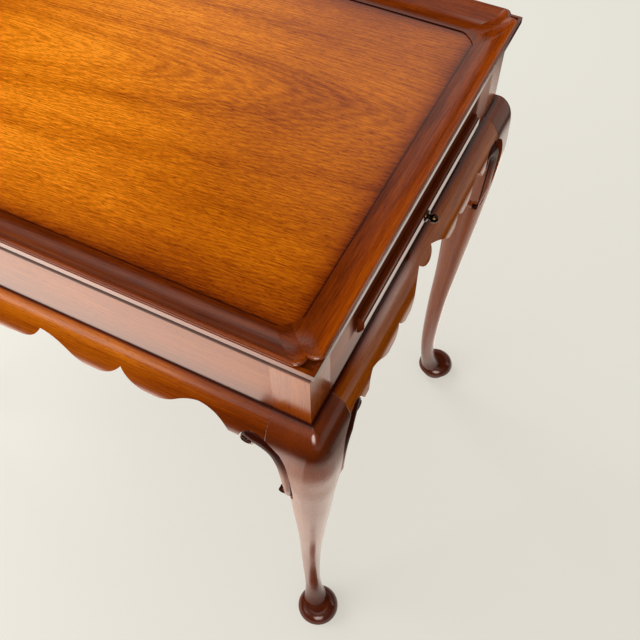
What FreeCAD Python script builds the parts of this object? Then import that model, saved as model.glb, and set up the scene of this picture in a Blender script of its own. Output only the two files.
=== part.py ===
"""Tray top tea table in mahogany, Queen Anne pattern, with two candle slides.

Millimetres.  The origin is on the floor under the middle of the table.
+X runs along the length, +Y towards the back and +Z up.
Every side piece is drawn looking at its own face: X along the side, -Y out of
the table, and the frieze face at y = 0.  Every leg is drawn with the outer
corner of its post on the Z axis, facing +X and -Y.
"""
import FreeCAD, Part
import math
import os

import Sketcher

Vector = FreeCAD.Vector
Rotation = FreeCAD.Rotation
Placement = FreeCAD.Placement

doc = FreeCAD.newDocument("TrayTopTeaTable")

# ---------------------------------------------------------------- sizes
SIZES = {
    # frieze frame
    "table_length": 700.0,
    "table_depth": 434.0,
    "frieze_bottom": 567.0,
    "frieze_top": 650.3,
    "rail_thickness": 20.0,
    "post_width": 34.0,
    "rebate_width": 10.0,
    "panel_thickness": 14.0,
    "field_step": 0.4,
    "field_clearance": 0.3,
    "tenon_length": 18.0,
    "tenon_thickness": 8.0,
    "tenon_setback": 6.0,
    "tenon_shoulder": 12.0,
    "cutter_overrun": 1.0,
    # tray moulding: reach is measured outwards from the frieze face
    "toe_reach": -23.6,
    "toe_height": 1.2,
    "base_reach": 5.3,
    "bead_reach": 6.7,
    "bead_height": 9.3,
    "bead_top_reach": 5.3,
    "quirk_reach": 4.9,
    "quirk_height": 9.8,
    "crest_reach": 8.7,
    "crest_side_height": 14.4,
    "crest_inner_reach": 6.1,
    "moulding_height": 16.0,
    "cove_radius": 32.7,
    "notch_start": 17.2,
    "notch_depth": 10.2,
    "toe_notch_depth": 6.9,
    # cushion moulded skirt under the frieze
    "skirt_bottom": 533.5,
    "skirt_reach": 21.8,
    "skirt_back": 20.0,
    "end_pattern_shift": 9.0,
    "cushion_belly_height": 531.0,
    "cushion_crown": 1.7,
    "cushion_upper_radius": 17.0,
    "cushion_lower_radius": 48.0,
    "skirt_edge_radius": 2.0,
    # notch in the skirt over the knee scroll: seam with the leg, crown and foot
    "notch_seam_height": 544.6,
    "notch_seam_radius": 24.0,
    "notch_crown_along": 46.5,
    "notch_crown_height": 547.7,
    "notch_crown_radius": 17.7,
    "notch_foot_along": 58.5,
    "wide_notch_radius": 26.0,
    # C scroll of the knee: reach of its face, and where its volute sits
    "scroll_reach": 16.2,
    "scroll_thickness": 22.0,
    "scroll_tail_thickness": 20.0,
    "scroll_seam_height": 512.7,
    "scroll_underside_radius": 36.0,
    "scroll_slope": 2.5,
    "scroll_slope_height": 520.0,
    "scroll_foot": 420.0,
    "volute_along": 54.0,
    "volute_height": 521.5,
    "volute_radius": 6.8,
    "volute_rise": 1.2,
    # pad foot
    "foot_inset": 1.6,
    "pad_radius": 27.0,
    "pad_height": 16.0,
    "pad_under_radius": 9.0,
    "pad_over_radius": 14.0,
    "shoe_radius": 19.5,
    "shoe_height": 6.5,
    "shoe_flare": 0.5,
    "pad_top_radius": 13.5,
    "pad_top_height": 28.0,
    # candle slides
    "slide_width": 256.0,
    "slide_thickness": 9.7,
    "slide_bottom": 594.3,
    "slide_travel": 200.0,
    "slide_gap": 0.4,
    "front_width": 268.0,
    "front_bottom": 588.0,
    "front_top": 610.0,
    "front_thickness": 6.4,
    "front_foot": 1.2,
    "front_bevel_height": 9.5,
    "front_bevel_radius": 24.0,
    "front_quirk_depth": 2.6,
    "front_quirk_drop": 3.4,
    "front_bead_radius": 1.6,
    "stop_length": 16.0,
    "stop_width": 120.0,
    "stop_height": 10.0,
    "runner_length": 232.0,
    "runner_bottom": 586.0,
    "runner_lip": 8.0,
    "runner_wall": 14.0,
    "knob_height": 599.5,
    "knob_screw_radius": 1.5,
    "knob_screw_length": 15.0,
    # hidden blocks and screws
    "block_thickness": 14.0,
    "block_bottom": 557.5,
    "block_top": 583.0,
    "block_end_gap": 3.0,
    "cleat_width": 16.0,
    "cleat_thickness": 18.0,
    "cleat_length": 480.0,
    "screw_radius": 2.0,
    "screw_head_radius": 4.0,
    "screw_depth": 9.0,
    "screw_end_distance": 30.0,
}

# Stations down the cabriole leg: height, reach of the outer faces beyond the
# frieze corner, distance of the inner faces inside it, rounding of the outer
# corner and rounding of the other three.
LEG_STATIONS = (
    (566.9, 1.4, 33.9, 1.4, 0.8),
    (564.0, 7.9, 33.9, 4.6, 0.8),
    (560.4, 11.7, 33.9, 8.0, 0.9),
    (553.0, 16.5, 33.9, 11.0, 1.0),
    (543.0, 20.3, 33.9, 15.0, 1.2),
    (530.0, 22.1, 33.7, 18.5, 2.5),
    (508.0, 23.4, 31.0, 21.5, 8.0),
    (480.0, 22.3, 28.4, 23.6, 16.0),
    (455.0, 20.6, 27.0, 23.2, 21.0),
    (425.0, 17.6, 26.6, 21.6, 21.4),
    (380.0, 13.4, 26.6, 19.7, 19.7),
    (320.0, 7.2, 26.3, 16.5, 16.5),
    (270.0, 2.4, 26.2, 14.1, 14.1),
    (210.0, -3.1, 27.7, 12.1, 12.1),
    (150.0, -6.0, 28.4, 11.0, 11.0),
    (100.0, -7.1, 27.7, 10.1, 10.1),
    (66.0, -5.4, 25.8, 10.0, 10.0),
    (44.0, -0.6, 24.4, 11.7, 11.7),
    (26.0, 8.0, 24.0, 15.8, 15.8),
)
STATION_FIELDS = ("height", "reach", "inset", "outer_round", "inner_round")

# Outlines, as (distance, height, bulge and radius of the arc that follows).
# For the scallops the distance is measured from the frieze corner along the
# skirt, bulge +1 makes an arch and -1 a hanging lobe.
LONG_SCALLOPS = (
    (67.5, 533.5, 1, 28.0),
    (82.0, 550.0, 1, 40.0),
    (98.0, 553.6, 1, 45.0),
    (120.0, 544.6, -1, 54.0),
    (146.5, 533.9, -1, 41.0),
    (176.0, 552.5, -1, 45.0),
    (206.0, 534.0, -1, 40.0),
    (228.0, 541.0, 1, 60.0),
    (262.0, 553.8, -1, 30.0),
    (290.0, 537.0, -1, 320.0),
)
SHORT_SCALLOPS = (
    (65.5, 533.5, 1, 22.0),
    (80.0, 548.4, 1, 34.0),
    (97.0, 541.4, -1, 40.0),
    (115.0, 533.9, -1, 26.0),
    (134.5, 545.5, -1, 28.0),
    (153.5, 533.6, -1, 48.0),
    (170.0, 543.6, 1, 70.0),
    (193.5, 558.0, -1, 17.0),
)
# The lip of the knee above the C scroll, from the seam with the skirt down.
KNEE_LIP = (
    (34.0, 544.6, -1, 61.0),
    (19.8, 532.2, -1, 67.0),
    (12.4, 505.4, -1, 400.0),
    (12.6, 446.0, -1, 120.0),
    (16.5, 420.0),
)
# The free edge of the scroll, from the small volute at its foot up.
SCROLL_EDGE = (
    (25.5, 420.0, -1, 7.0),
    (25.8, 432.0, 1, 361.0),
    (27.2, 488.3, 1, 43.0),
    (34.0, 512.7),
)
# The turned knob: distance in front of its seat, radius there, and next arc.
KNOB_OUTLINE = (
    (0.0, 5.6, 1, 1.6),
    (1.4, 4.0),
    (2.2, 2.4, -1, 3.0),
    (4.4, 2.9, 1, 2.6),
    (7.4, 4.2, 1, 5.4),
    (11.5, 0.8),
)
OUTLINES = {
    "long_scallop": LONG_SCALLOPS,
    "short_scallop": SHORT_SCALLOPS,
    "knee_lip": KNEE_LIP,
    "scroll_edge": SCROLL_EDGE,
    "knob": KNOB_OUTLINE,
}

# Every number of a station or an outline has a cell of its own, named by the
# piece, the measure and the letter of its row.
ROW_LETTERS = "abcdefghijklmnopqrs"
for letter, station in zip(ROW_LETTERS, LEG_STATIONS):
    for field, value in zip(STATION_FIELDS, station):
        SIZES["leg_%s_%s" % (field, letter)] = value
for outline_name, outline in OUTLINES.items():
    for letter, corner in zip(ROW_LETTERS, outline):
        SIZES["%s_along_%s" % (outline_name, letter)] = corner[0]
        SIZES["%s_height_%s" % (outline_name, letter)] = corner[1]
        if len(corner) > 2:
            SIZES["%s_radius_%s" % (outline_name, letter)] = corner[3]

sheet = doc.addObject("Spreadsheet::Sheet", "Sizes")
for row, (name, value) in enumerate(SIZES.items(), start=1):
    sheet.set("A%d" % row, name)
    sheet.set("B%d" % row, str(value))
    sheet.setAlias("B%d" % row, name)
doc.recompute()


def size(name):
    """Read a driving dimension back from the sheet."""
    return float(sheet.get(name))


def outline_cells(name):
    """The corners of an outline, written as the cells that hold its sizes."""
    corners = []
    for letter, corner in zip(ROW_LETTERS, OUTLINES[name]):
        cell = "Sizes." + name + "_%s_" + letter
        arc = (corner[2], cell % "radius") if len(corner) > 2 else ()
        corners.append((cell % "along", cell % "height") + arc)
    return corners


# The four sides and four corners, with the turn that faces each outwards.
SIDES = {
    "front": (0, 0, -1),
    "right": (90, 1, 0),
    "back": (180, 0, 1),
    "left": (270, -1, 0),
}
CORNERS = {
    "front_right": (0, 1, -1),
    "back_right": (90, 1, 1),
    "back_left": (180, -1, 1),
    "front_left": (270, -1, -1),
}
# The two outer faces of a leg: the plane that shows each and the way that runs
# from the corner in along the side.
FACES = {"XZ": ("XZ_Plane", -1), "YZ": ("YZ_Plane", 1)}
nodes = []


def side_length(side):
    return "Sizes.table_length" if side in ("front", "back") else "Sizes.table_depth"


def keep(piece, label):
    """Give a finished sub-part its name and add it to the parts to write."""
    piece.Label = label
    nodes.append(piece)
    return piece


def place(piece, turn, x_factor, y_factor):
    """Turn a piece and move it to a side or corner of the frieze frame."""
    piece.Placement = Placement(Vector(0, 0, 0), Rotation(Vector(0, 0, 1), turn))
    piece.setExpression("Placement.Base.x", "%g * Sizes.table_length / 2" % x_factor)
    piece.setExpression("Placement.Base.y", "%g * Sizes.table_depth / 2" % y_factor)


# ---------------------------------------------------------------- drawing helpers
def new_body(name):
    return doc.addObject("PartDesign::Body", name)


def new_sketch(body, name, plane, offset=None):
    """Start a sketch on one of the body's own origin planes."""
    sketch = body.newObject("Sketcher::SketchObject", name)
    for feature in body.Origin.OriginFeatures:
        if feature.Role == plane:
            sketch.AttachmentSupport = [(feature, "")]
    sketch.MapMode = "FlatFace"
    if offset is not None:
        sketch.AttachmentOffset = offset
    return sketch


def value_of(expression):
    """Work out an expression over the sheet's cells."""
    if isinstance(expression, (int, float)):
        return float(expression)
    return float(sheet.evalExpression(expression))


def fix(sketch, kind, *reference, to):
    """Add a driving dimension and bind it to the sheet when it is an expression."""
    index = sketch.addConstraint(Sketcher.Constraint(kind, *reference, value_of(to)))
    if isinstance(to, str):
        sketch.setExpression("Constraints[%d]" % index, to)


def draw_outline(sketch, corners):
    """Draw a closed outline.

    Each corner is (x, y) or (x, y, bulge, radius): the edge that leaves it is
    then an arc of that radius that bulges to the left (+1) or right (-1) of
    the way it runs.
    """
    points = [Vector(value_of(c[0]), value_of(c[1]), 0) for c in corners]
    for number, corner in enumerate(corners):
        start = points[number]
        end = points[(number + 1) % len(points)]
        if len(corner) == 2:
            sketch.addGeometry(Part.LineSegment(start, end))
            continue
        bulge, radius = corner[2], value_of(corner[3])
        chord = end - start
        left = Vector(-chord.y, chord.x, 0).normalize()
        half = chord.Length / 2
        rise = radius - math.sqrt(radius * radius - half * half)
        middle = (start + end) * 0.5 + left * (rise * bulge)
        sketch.addGeometry(Part.Arc(start, middle, end))
    ends = []
    for number, corner in enumerate(corners):
        arc_turned = len(corner) > 2 and corner[2] > 0
        ends.append((2, 1) if arc_turned else (1, 2))
    for number, corner in enumerate(corners):
        following = (number + 1) % len(corners)
        sketch.addConstraint(Sketcher.Constraint(
            "Coincident", number, ends[number][1], following, ends[following][0]))
        if len(corner) > 2:
            fix(sketch, "Radius", number, to=corner[3])
        fix(sketch, "DistanceX", -1, 1, number, ends[number][0], to=corner[0])
        fix(sketch, "DistanceY", -1, 1, number, ends[number][0], to=corner[1])


def draw_rectangle(sketch, left, bottom, right, top):
    draw_outline(sketch, [(left, bottom), (right, bottom), (right, top), (left, top)])


def draw_circle(sketch, x, y, radius):
    circle = Part.Circle(Vector(value_of(x), value_of(y), 0), Vector(0, 0, 1), value_of(radius))
    index = sketch.addGeometry(circle)
    fix(sketch, "Radius", index, to=radius)
    fix(sketch, "DistanceX", -1, 1, index, 3, to=x)
    fix(sketch, "DistanceY", -1, 1, index, 3, to=y)


def pad(body, name, sketch, length, symmetric=False, reverse=False):
    feature = body.newObject("PartDesign::Pad", name)
    feature.Profile = sketch
    feature.Length = value_of(length)
    if isinstance(length, str):
        feature.setExpression("Length", length)
    if symmetric:
        feature.SideType = "Symmetric"
    feature.Reversed = reverse
    return feature


def pocket(body, name, sketch, depth, symmetric=False, reverse=False):
    feature = body.newObject("PartDesign::Pocket", name)
    feature.Profile = sketch
    feature.Length = value_of(depth)
    if isinstance(depth, str):
        feature.setExpression("Length", depth)
    if symmetric:
        feature.SideType = "Symmetric"
    feature.Reversed = reverse
    return feature


def revolve(body, name, sketch, axis):
    feature = body.newObject("PartDesign::Revolution", name)
    feature.Profile = sketch
    feature.ReferenceAxis = (sketch, [axis])
    feature.Angle = 360.0
    return feature


def turned_way(way, corners):
    """Mirror an outline for a side that runs the other way."""
    if way > 0:
        return corners
    flipped = []
    for corner in corners:
        x = -corner[0] if isinstance(corner[0], (int, float)) else "-(%s)" % corner[0]
        flipped.append((x,) + tuple(corner[1:2]) + ((-corner[2], corner[3]) if len(corner) > 2 else ()))
    return flipped


# ---------------------------------------------------------------- tray panel
# Bulge and radius of the field's edge where it runs into a notched corner.
FIELD_ARC = (-1, 22.0)


def make_panel():
    """Solid top board, let into a rebate round the inside of the frieze."""
    body = new_body("PanelBoard")
    sketch = new_sketch(body, "PanelOutline", "XY_Plane")
    sketch.setExpression("AttachmentOffset.Base.z", "Sizes.frieze_top - Sizes.panel_thickness")
    half_length = "Sizes.table_length / 2 - Sizes.rebate_width"
    half_depth = "Sizes.table_depth / 2 - Sizes.rebate_width"
    draw_rectangle(sketch, "-(%s)" % half_length, "-(%s)" % half_depth, half_length, half_depth)
    pad(body, "PanelPad", sketch, "Sizes.panel_thickness - Sizes.field_step")
    field = new_sketch(body, "FieldOutline", "XY_Plane")
    field.setExpression("AttachmentOffset.Base.z", "Sizes.frieze_top - Sizes.field_step")
    draw_outline(field, field_corners())
    pad(body, "FieldPad", field, "Sizes.field_step")
    return body


def field_corners():
    """Outline of the raised field, which fits inside the toe of the moulding."""
    edge = "(Sizes.field_clearance - Sizes.toe_reach)"
    turn_in = "(Sizes.notch_start - Sizes.toe_reach)"
    cusp = "(%s + Sizes.toe_notch_depth)" % edge
    long_half, short_half = "Sizes.table_length / 2", "Sizes.table_depth / 2"
    corners = []
    for x_sign, y_sign in (("-", "-"), ("", "-"), ("", ""), ("-", "")):
        before = ("%s(%s - %s)" % (x_sign, long_half, turn_in), "%s(%s - %s)" % (y_sign, short_half, edge))
        middle = ("%s(%s - %s)" % (x_sign, long_half, cusp), "%s(%s - %s)" % (y_sign, short_half, cusp))
        after = ("%s(%s - %s)" % (x_sign, long_half, edge), "%s(%s - %s)" % (y_sign, short_half, turn_in))
        run = [before, middle, after] if x_sign != y_sign else [after, middle, before]
        corners += [run[0] + FIELD_ARC, run[1] + FIELD_ARC, run[2]]
    return corners


# ---------------------------------------------------------------- frieze rails
REBATE_FLOOR = "Sizes.frieze_top - Sizes.panel_thickness"


def make_rail(side):
    """Frieze rail with a rebate for the panel and a tenon into each post."""
    turn, x_factor, y_factor = SIDES[side]
    body = new_body("Rail_" + side)
    clear = "(%s - 2 * Sizes.post_width)" % side_length(side)
    section = new_sketch(body, "RailSection_" + side, "YZ_Plane")
    draw_outline(section, [
        (0, "Sizes.frieze_bottom"),
        ("Sizes.rail_thickness", "Sizes.frieze_bottom"),
        ("Sizes.rail_thickness", REBATE_FLOOR),
        ("Sizes.rebate_width", REBATE_FLOOR),
        ("Sizes.rebate_width", "Sizes.frieze_top"),
        (0, "Sizes.frieze_top"),
    ])
    pad(body, "RailBoard_" + side, section, clear, symmetric=True)
    tenon = new_sketch(body, "TenonSection_" + side, "YZ_Plane")
    draw_rectangle(
        tenon,
        "Sizes.tenon_setback", "Sizes.frieze_bottom + Sizes.tenon_shoulder",
        "Sizes.tenon_setback + Sizes.tenon_thickness", REBATE_FLOOR + " - Sizes.tenon_shoulder")
    pad(body, "Tenons_" + side, tenon, clear + " + 2 * Sizes.tenon_length", symmetric=True)
    if side in ("left", "right"):
        slot = new_sketch(body, "SlideSlot_" + side, "XZ_Plane")
        half = "(Sizes.slide_width / 2 + Sizes.slide_gap)"
        draw_rectangle(
            slot, "-" + half, "Sizes.slide_bottom - Sizes.slide_gap",
            half, "Sizes.slide_bottom + Sizes.slide_thickness + Sizes.slide_gap")
        pocket(body, "SlotCut_" + side, slot, "3 * Sizes.rail_thickness", symmetric=True)
    place(body, turn, x_factor, y_factor)
    return keep(body, "frieze_rail_" + side)


# ---------------------------------------------------------------- scalloped skirt
def notch_run(foot):
    """The notch's edge from the seam with the leg to the foot of the skirt."""
    crown_radius = "Sizes.notch_crown_radius" if foot == NOTCH_FOOT else "Sizes.wide_notch_radius"
    return [
        ("Sizes.post_width", "Sizes.notch_seam_height", 1, "Sizes.notch_seam_radius"),
        ("Sizes.notch_crown_along", "Sizes.notch_crown_height", 1, crown_radius),
        (foot, "Sizes.skirt_bottom"),
    ]


NOTCH_FOOT = "Sizes.notch_foot_along"
# At the back of an end the notch is wider, because the pattern is set forward.
FAR_NOTCH_FOOT = NOTCH_FOOT + " + 2 * Sizes.end_pattern_shift"


def scallop_corners(side):
    """Corners of the waste that is sawn away under the skirt."""
    long_side = side in ("front", "back")
    scallops = outline_cells("long_scallop" if long_side else "short_scallop")
    half = "(%s / 2)" % side_length(side)
    seam = "Sizes.post_width - Sizes.cutter_overrun"
    start = [(seam, "Sizes.skirt_bottom - Sizes.skirt_back"), (seam, "Sizes.notch_seam_height")]
    near = start + notch_run(NOTCH_FOOT) + scallops
    if long_side:
        far = near
    else:
        shifted = [(corner[0] + " + 2 * Sizes.end_pattern_shift",) + corner[1:] for corner in scallops]
        far = start + notch_run(FAR_NOTCH_FOOT) + shifted
    corners = [("%s - %s" % (corner[0], half),) + corner[1:] for corner in near]
    for number in range(len(far) - 1, -1, -1):
        arc = far[number - 1][2:] if number > 0 else ()
        corners.append(("%s - (%s)" % (half, far[number][0]), far[number][1]) + arc)
    return turned_way(-1 if side == "left" else 1, corners)


def make_skirt(side):
    """Cushion moulding under the rail, sawn to its scallops."""
    turn, x_factor, y_factor = SIDES[side]
    body = new_body("Skirt_" + side)
    reach = "Sizes.skirt_reach"
    crown_height = "Sizes.frieze_bottom"
    upper, crown = size("cushion_upper_radius"), size("cushion_crown")
    across = size("cushion_lower_radius") - size("skirt_reach") - crown
    drop = size("frieze_bottom") - upper - size("cushion_belly_height")
    span = math.hypot(across, drop)
    join_out = upper * across / span - crown
    join_up = size("frieze_bottom") - upper + upper * drop / span
    section = new_sketch(body, "SkirtSection_" + side, "YZ_Plane")
    draw_outline(section, [
        ("Sizes.cushion_crown", crown_height, -1, "Sizes.cushion_upper_radius"),
        (-join_out, join_up, -1, "Sizes.cushion_lower_radius"),
        ("-" + reach, "Sizes.skirt_bottom + Sizes.skirt_edge_radius", -1, "Sizes.skirt_edge_radius"),
        ("-%s + Sizes.skirt_edge_radius" % reach, "Sizes.skirt_bottom"),
        ("Sizes.skirt_back", "Sizes.skirt_bottom"),
        ("Sizes.skirt_back", crown_height),
    ])
    clear = "%s - 2 * Sizes.post_width" % side_length(side)
    pad(body, "SkirtBoard_" + side, section, clear, symmetric=True)
    waste = new_sketch(body, "Scallops_" + side, "XZ_Plane")
    draw_outline(waste, scallop_corners(side))
    pocket(body, "ScallopCut_" + side, waste, "6 * Sizes.skirt_back", symmetric=True)
    place(body, turn, x_factor, y_factor)
    return keep(body, "skirt_" + side)


# ---------------------------------------------------------------- cabriole legs
# How far the tools run past the scroll into the leg and out of it.
SCROLL_OVERRUN = (14.0, 45.0)


def scroll_plane(rise=0.0):
    """Placement of the scroll's face, which leans back towards the foot."""
    slope = size("scroll_slope")
    at_floor = size("scroll_reach") + rise
    at_floor -= size("scroll_slope_height") * math.tan(math.radians(slope))
    return Placement(Vector(0, 0, at_floor), Rotation(Vector(1, 0, 0), slope))


def add_scroll(body, corner, face):
    """Carve the tail of the C scroll on one flank of the leg."""
    plane, way = FACES[face]
    name = "%s_%s" % (corner, face)
    inner, outer = SCROLL_OVERRUN
    top = "Sizes.skirt_bottom"
    strip = new_sketch(body, "ScrollStrip_" + name, plane, scroll_plane())
    behind = [("Sizes.post_width", top), (inner, top), (inner, "Sizes.scroll_foot")]
    draw_outline(strip, turned_way(way, outline_cells("scroll_edge") + behind))
    pad(body, "ScrollPad_" + name, strip, "Sizes.scroll_tail_thickness", reverse=True)
    recess = new_sketch(body, "ScrollRecess_" + name, plane, scroll_plane())
    beside = [(outer, "Sizes.scroll_foot"), (outer, "Sizes.notch_seam_height")]
    draw_outline(recess, turned_way(way, outline_cells("knee_lip") + beside))
    pocket(body, "ScrollCut_" + name, recess, "2 * Sizes.skirt_reach", reverse=True)


def side_word(corner, face):
    """Whether a face of a leg looks along a long side or an end of the table."""
    quarter_turned = CORNERS[corner][0] in (90, 270)
    return "long" if (face == "XZ") != quarter_turned else "end"


def notch_foot(corner, face):
    """Where the skirt's notch over the scroll meets its bottom edge."""
    set_forward = side_word(corner, face) == "end" and CORNERS[corner][2] > 0
    return FAR_NOTCH_FOOT if set_forward else NOTCH_FOOT


def leg_cell(field, letter):
    """Sheet cell of one size of one leg section."""
    return "Sizes.leg_%s_%s" % (field, letter)


def make_leg(corner):
    """One leg: square post, cushion knee, cabriole shank and pad foot."""
    turn, x_factor, y_factor = CORNERS[corner]
    body = new_body("Leg_" + corner)
    sections = []
    for letter in ROW_LETTERS:
        reach, inset = leg_cell("reach", letter), leg_cell("inset", letter)
        outer, inner = leg_cell("outer_round", letter), leg_cell("inner_round", letter)
        sketch = new_sketch(body, "LegSection_%s_%s" % (corner, letter), "XY_Plane")
        sketch.setExpression("AttachmentOffset.Base.z", leg_cell("height", letter))
        draw_outline(sketch, [
            ("-%s + %s" % (inset, inner), "-" + reach),
            ("%s - %s" % (reach, outer), "-" + reach, -1, outer),
            (reach, "-%s + %s" % (reach, outer)),
            (reach, "%s - %s" % (inset, inner), -1, inner),
            ("%s - %s" % (reach, inner), inset),
            ("-%s + %s" % (inset, inner), inset, -1, inner),
            ("-" + inset, "%s - %s" % (inset, inner)),
            ("-" + inset, "-%s + %s" % (reach, inner), -1, inner),
        ])
        sections.append(sketch)
    shank = body.newObject("PartDesign::AdditiveLoft", "Shank_" + corner)
    shank.Profile = sections[0]
    shank.Sections = sections[1:]
    shank.Ruled = False

    post = new_sketch(body, "PostSection_" + corner, "XY_Plane")
    post.setExpression("AttachmentOffset.Base.z", "Sizes.frieze_bottom - Sizes.cutter_overrun")
    draw_rectangle(post, "-Sizes.post_width", 0, 0, "Sizes.post_width")
    pad(body, "Post_" + corner, post, "Sizes.frieze_top - Sizes.frieze_bottom + Sizes.cutter_overrun")
    rebate = new_sketch(body, "PostRebate_" + corner, "XY_Plane")
    rebate.setExpression("AttachmentOffset.Base.z", "Sizes.frieze_top")
    past_post = "(Sizes.post_width + Sizes.cutter_overrun)"
    draw_rectangle(rebate, "-" + past_post, "Sizes.rebate_width", "-Sizes.rebate_width", past_post)
    pocket(body, "RebateCut_" + corner, rebate, "Sizes.panel_thickness")

    low = "Sizes.frieze_bottom + Sizes.tenon_shoulder"
    high = REBATE_FLOOR + " - Sizes.tenon_shoulder"
    near = "Sizes.tenon_setback"
    far = "Sizes.tenon_setback + Sizes.tenon_thickness"
    along_x = new_sketch(body, "MortiseX_" + corner, "YZ_Plane")
    along_x.setExpression("AttachmentOffset.Base.z", "-Sizes.post_width")
    draw_rectangle(along_x, near, low, far, high)
    pocket(body, "MortiseCutX_" + corner, along_x, "Sizes.tenon_length", reverse=True)
    along_y = new_sketch(body, "MortiseY_" + corner, "XZ_Plane")
    along_y.setExpression("AttachmentOffset.Base.z", "-Sizes.post_width")
    draw_rectangle(along_y, "-(%s)" % far, low, "-" + near, high)
    pocket(body, "MortiseCutY_" + corner, along_y, "Sizes.tenon_length", reverse=True)

    foot = new_sketch(body, "FootProfile_" + corner, "XZ_Plane")
    foot.setExpression("AttachmentOffset.Base.z", "-Sizes.foot_inset")
    middle = "-Sizes.foot_inset"
    draw_outline(foot, [
        (middle, 0),
        (middle + " + Sizes.shoe_radius", 0),
        (middle + " + Sizes.shoe_radius + Sizes.shoe_flare", "Sizes.shoe_height",
         1, "Sizes.pad_under_radius"),
        (middle + " + Sizes.pad_radius", "Sizes.pad_height", -1, "Sizes.pad_over_radius"),
        (middle + " + Sizes.pad_top_radius", "Sizes.pad_top_height"),
        (middle, "Sizes.pad_top_height"),
    ])
    revolve(body, "Foot_" + corner, foot, "Edge6")
    for face in FACES:
        add_scroll(body, corner, face)
    place(body, turn, x_factor, y_factor)
    return keep(body, "leg_" + corner)


# ---------------------------------------------------------------- knee returns
def make_return(corner, face):
    """C scroll block glued to the flank of a leg, under the end of a skirt."""
    turn, x_factor, y_factor = CORNERS[corner]
    plane, way = FACES[face]
    name = "%s_%s" % (corner, face)
    body = new_body("Return_" + name)
    stock_face = Placement(Vector(0, 0, size("scroll_reach") + size("volute_rise")), Rotation())
    block = new_sketch(body, "ReturnOutline_" + name, plane, stock_face)
    half_radius = "Sizes.volute_radius / 2"
    outline = [("Sizes.post_width", "Sizes.scroll_seam_height")]
    outline += notch_run(notch_foot(corner, face))
    outline.append(("Sizes.volute_along + " + half_radius, "Sizes.volute_height + " + half_radius))
    outline.append(("Sizes.volute_along - Sizes.volute_radius", "Sizes.volute_height",
                    -1, "Sizes.scroll_underside_radius"))
    draw_outline(block, turned_way(way, outline))
    pad(body, "ReturnBlock_" + name, block, "Sizes.scroll_thickness", reverse=True)
    skin = new_sketch(body, "ReturnFace_" + name, plane, scroll_plane())
    trim = ["Sizes.post_width - Sizes.cutter_overrun", "Sizes.scroll_foot",
            "3 * Sizes.post_width", "Sizes.frieze_bottom"]
    if way < 0:
        trim = ["-" + trim[2], trim[1], "-(%s)" % trim[0], trim[3]]
    draw_rectangle(skin, *trim)
    pocket(body, "ReturnFaceCut_" + name, skin, "Sizes.scroll_thickness", reverse=True)
    volute = new_sketch(body, "Volute_" + name, plane, scroll_plane(size("volute_rise")))
    along = "Sizes.volute_along" if way > 0 else "-Sizes.volute_along"
    draw_circle(volute, along, "Sizes.volute_height", "Sizes.volute_radius")
    pad(body, "VoluteBoss_" + name, volute, "Sizes.scroll_thickness + Sizes.volute_rise", reverse=True)
    place(body, turn, x_factor, y_factor)
    return keep(body, "knee_return_%s_%s" % (corner, side_word(corner, face)))


# ---------------------------------------------------------------- tray moulding
# Fullest point of two of the section's curves, as shares of the way out and up
# from where the curve starts: the lip over the quirk, and the crest.
LIP_SWELL = (0.70, 0.38)
CREST_SWELL = (0.20, 0.72)
COVE_STEPS = 8
BEAD_POINTS = 5
MITRE_STEPS = 5
TOE_CUSP_POWER = 1.3


def arc_points(start, middle, end, count):
    """Points along the arc through three places on the section."""
    arc = Part.Arc(Vector(*start, 0), Vector(*middle, 0), Vector(*end, 0)).toShape()
    return [(p.x, p.y) for p in arc.discretize(count)]


def partway(start, end, shares):
    """A point some share of the way out, and another share of the way up."""
    return tuple(a + (b - a) * share for a, b, share in zip(start, end, shares))


def cove_middle(start, end, radius):
    """Middle of the hollow arc between the crest and the toe."""
    chord = Vector(end[0] - start[0], end[1] - start[1], 0)
    half = chord.Length / 2
    sag = radius - math.sqrt(radius * radius - half * half)
    across = Vector(-chord.y, chord.x, 0).normalize()
    if across.y > 0:
        across = across * -1
    return ((start[0] + end[0]) / 2 + across.x * sag, (start[1] + end[1]) / 2 + across.y * sag)


def moulding_curves():
    """The section as runs of (reach, height, share of toe cut, share of crest cut)."""
    toe = (size("toe_reach"), size("toe_height"))
    base = (size("base_reach"), 0.0)
    bead_top = (size("bead_top_reach"), size("bead_height"))
    bead_middle = (size("bead_reach"), size("bead_height") / 2)
    quirk = (size("quirk_reach"), size("quirk_height"))
    lip = (size("crest_reach"), size("crest_side_height"))
    crest = (size("crest_inner_reach"), size("moulding_height"))
    lip_middle = partway(quirk, lip, LIP_SWELL)
    crest_middle = partway(lip, crest, CREST_SWELL)
    hollow = arc_points(crest, cove_middle(crest, toe, size("cove_radius")), toe, COVE_STEPS + 1)
    cove = []
    for step, (reach, height) in enumerate(hollow):
        cove.append((reach, height, step / COVE_STEPS, 1 - step / COVE_STEPS))
    return (
        [(toe[0], 0.0, 1, 0), base + (0, 0)],
        [p + (0, 0) for p in arc_points(base, bead_middle, bead_top, BEAD_POINTS)],
        [bead_top + (0, 0), quirk + (0, 1)],
        [p + (0, 1) for p in arc_points(quirk, lip_middle, lip, BEAD_POINTS)],
        [p + (0, 1) for p in arc_points(lip, crest_middle, crest, BEAD_POINTS)],
        cove,
        [toe + (1, 0), (toe[0], 0.0, 1, 0)],
    )


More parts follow.
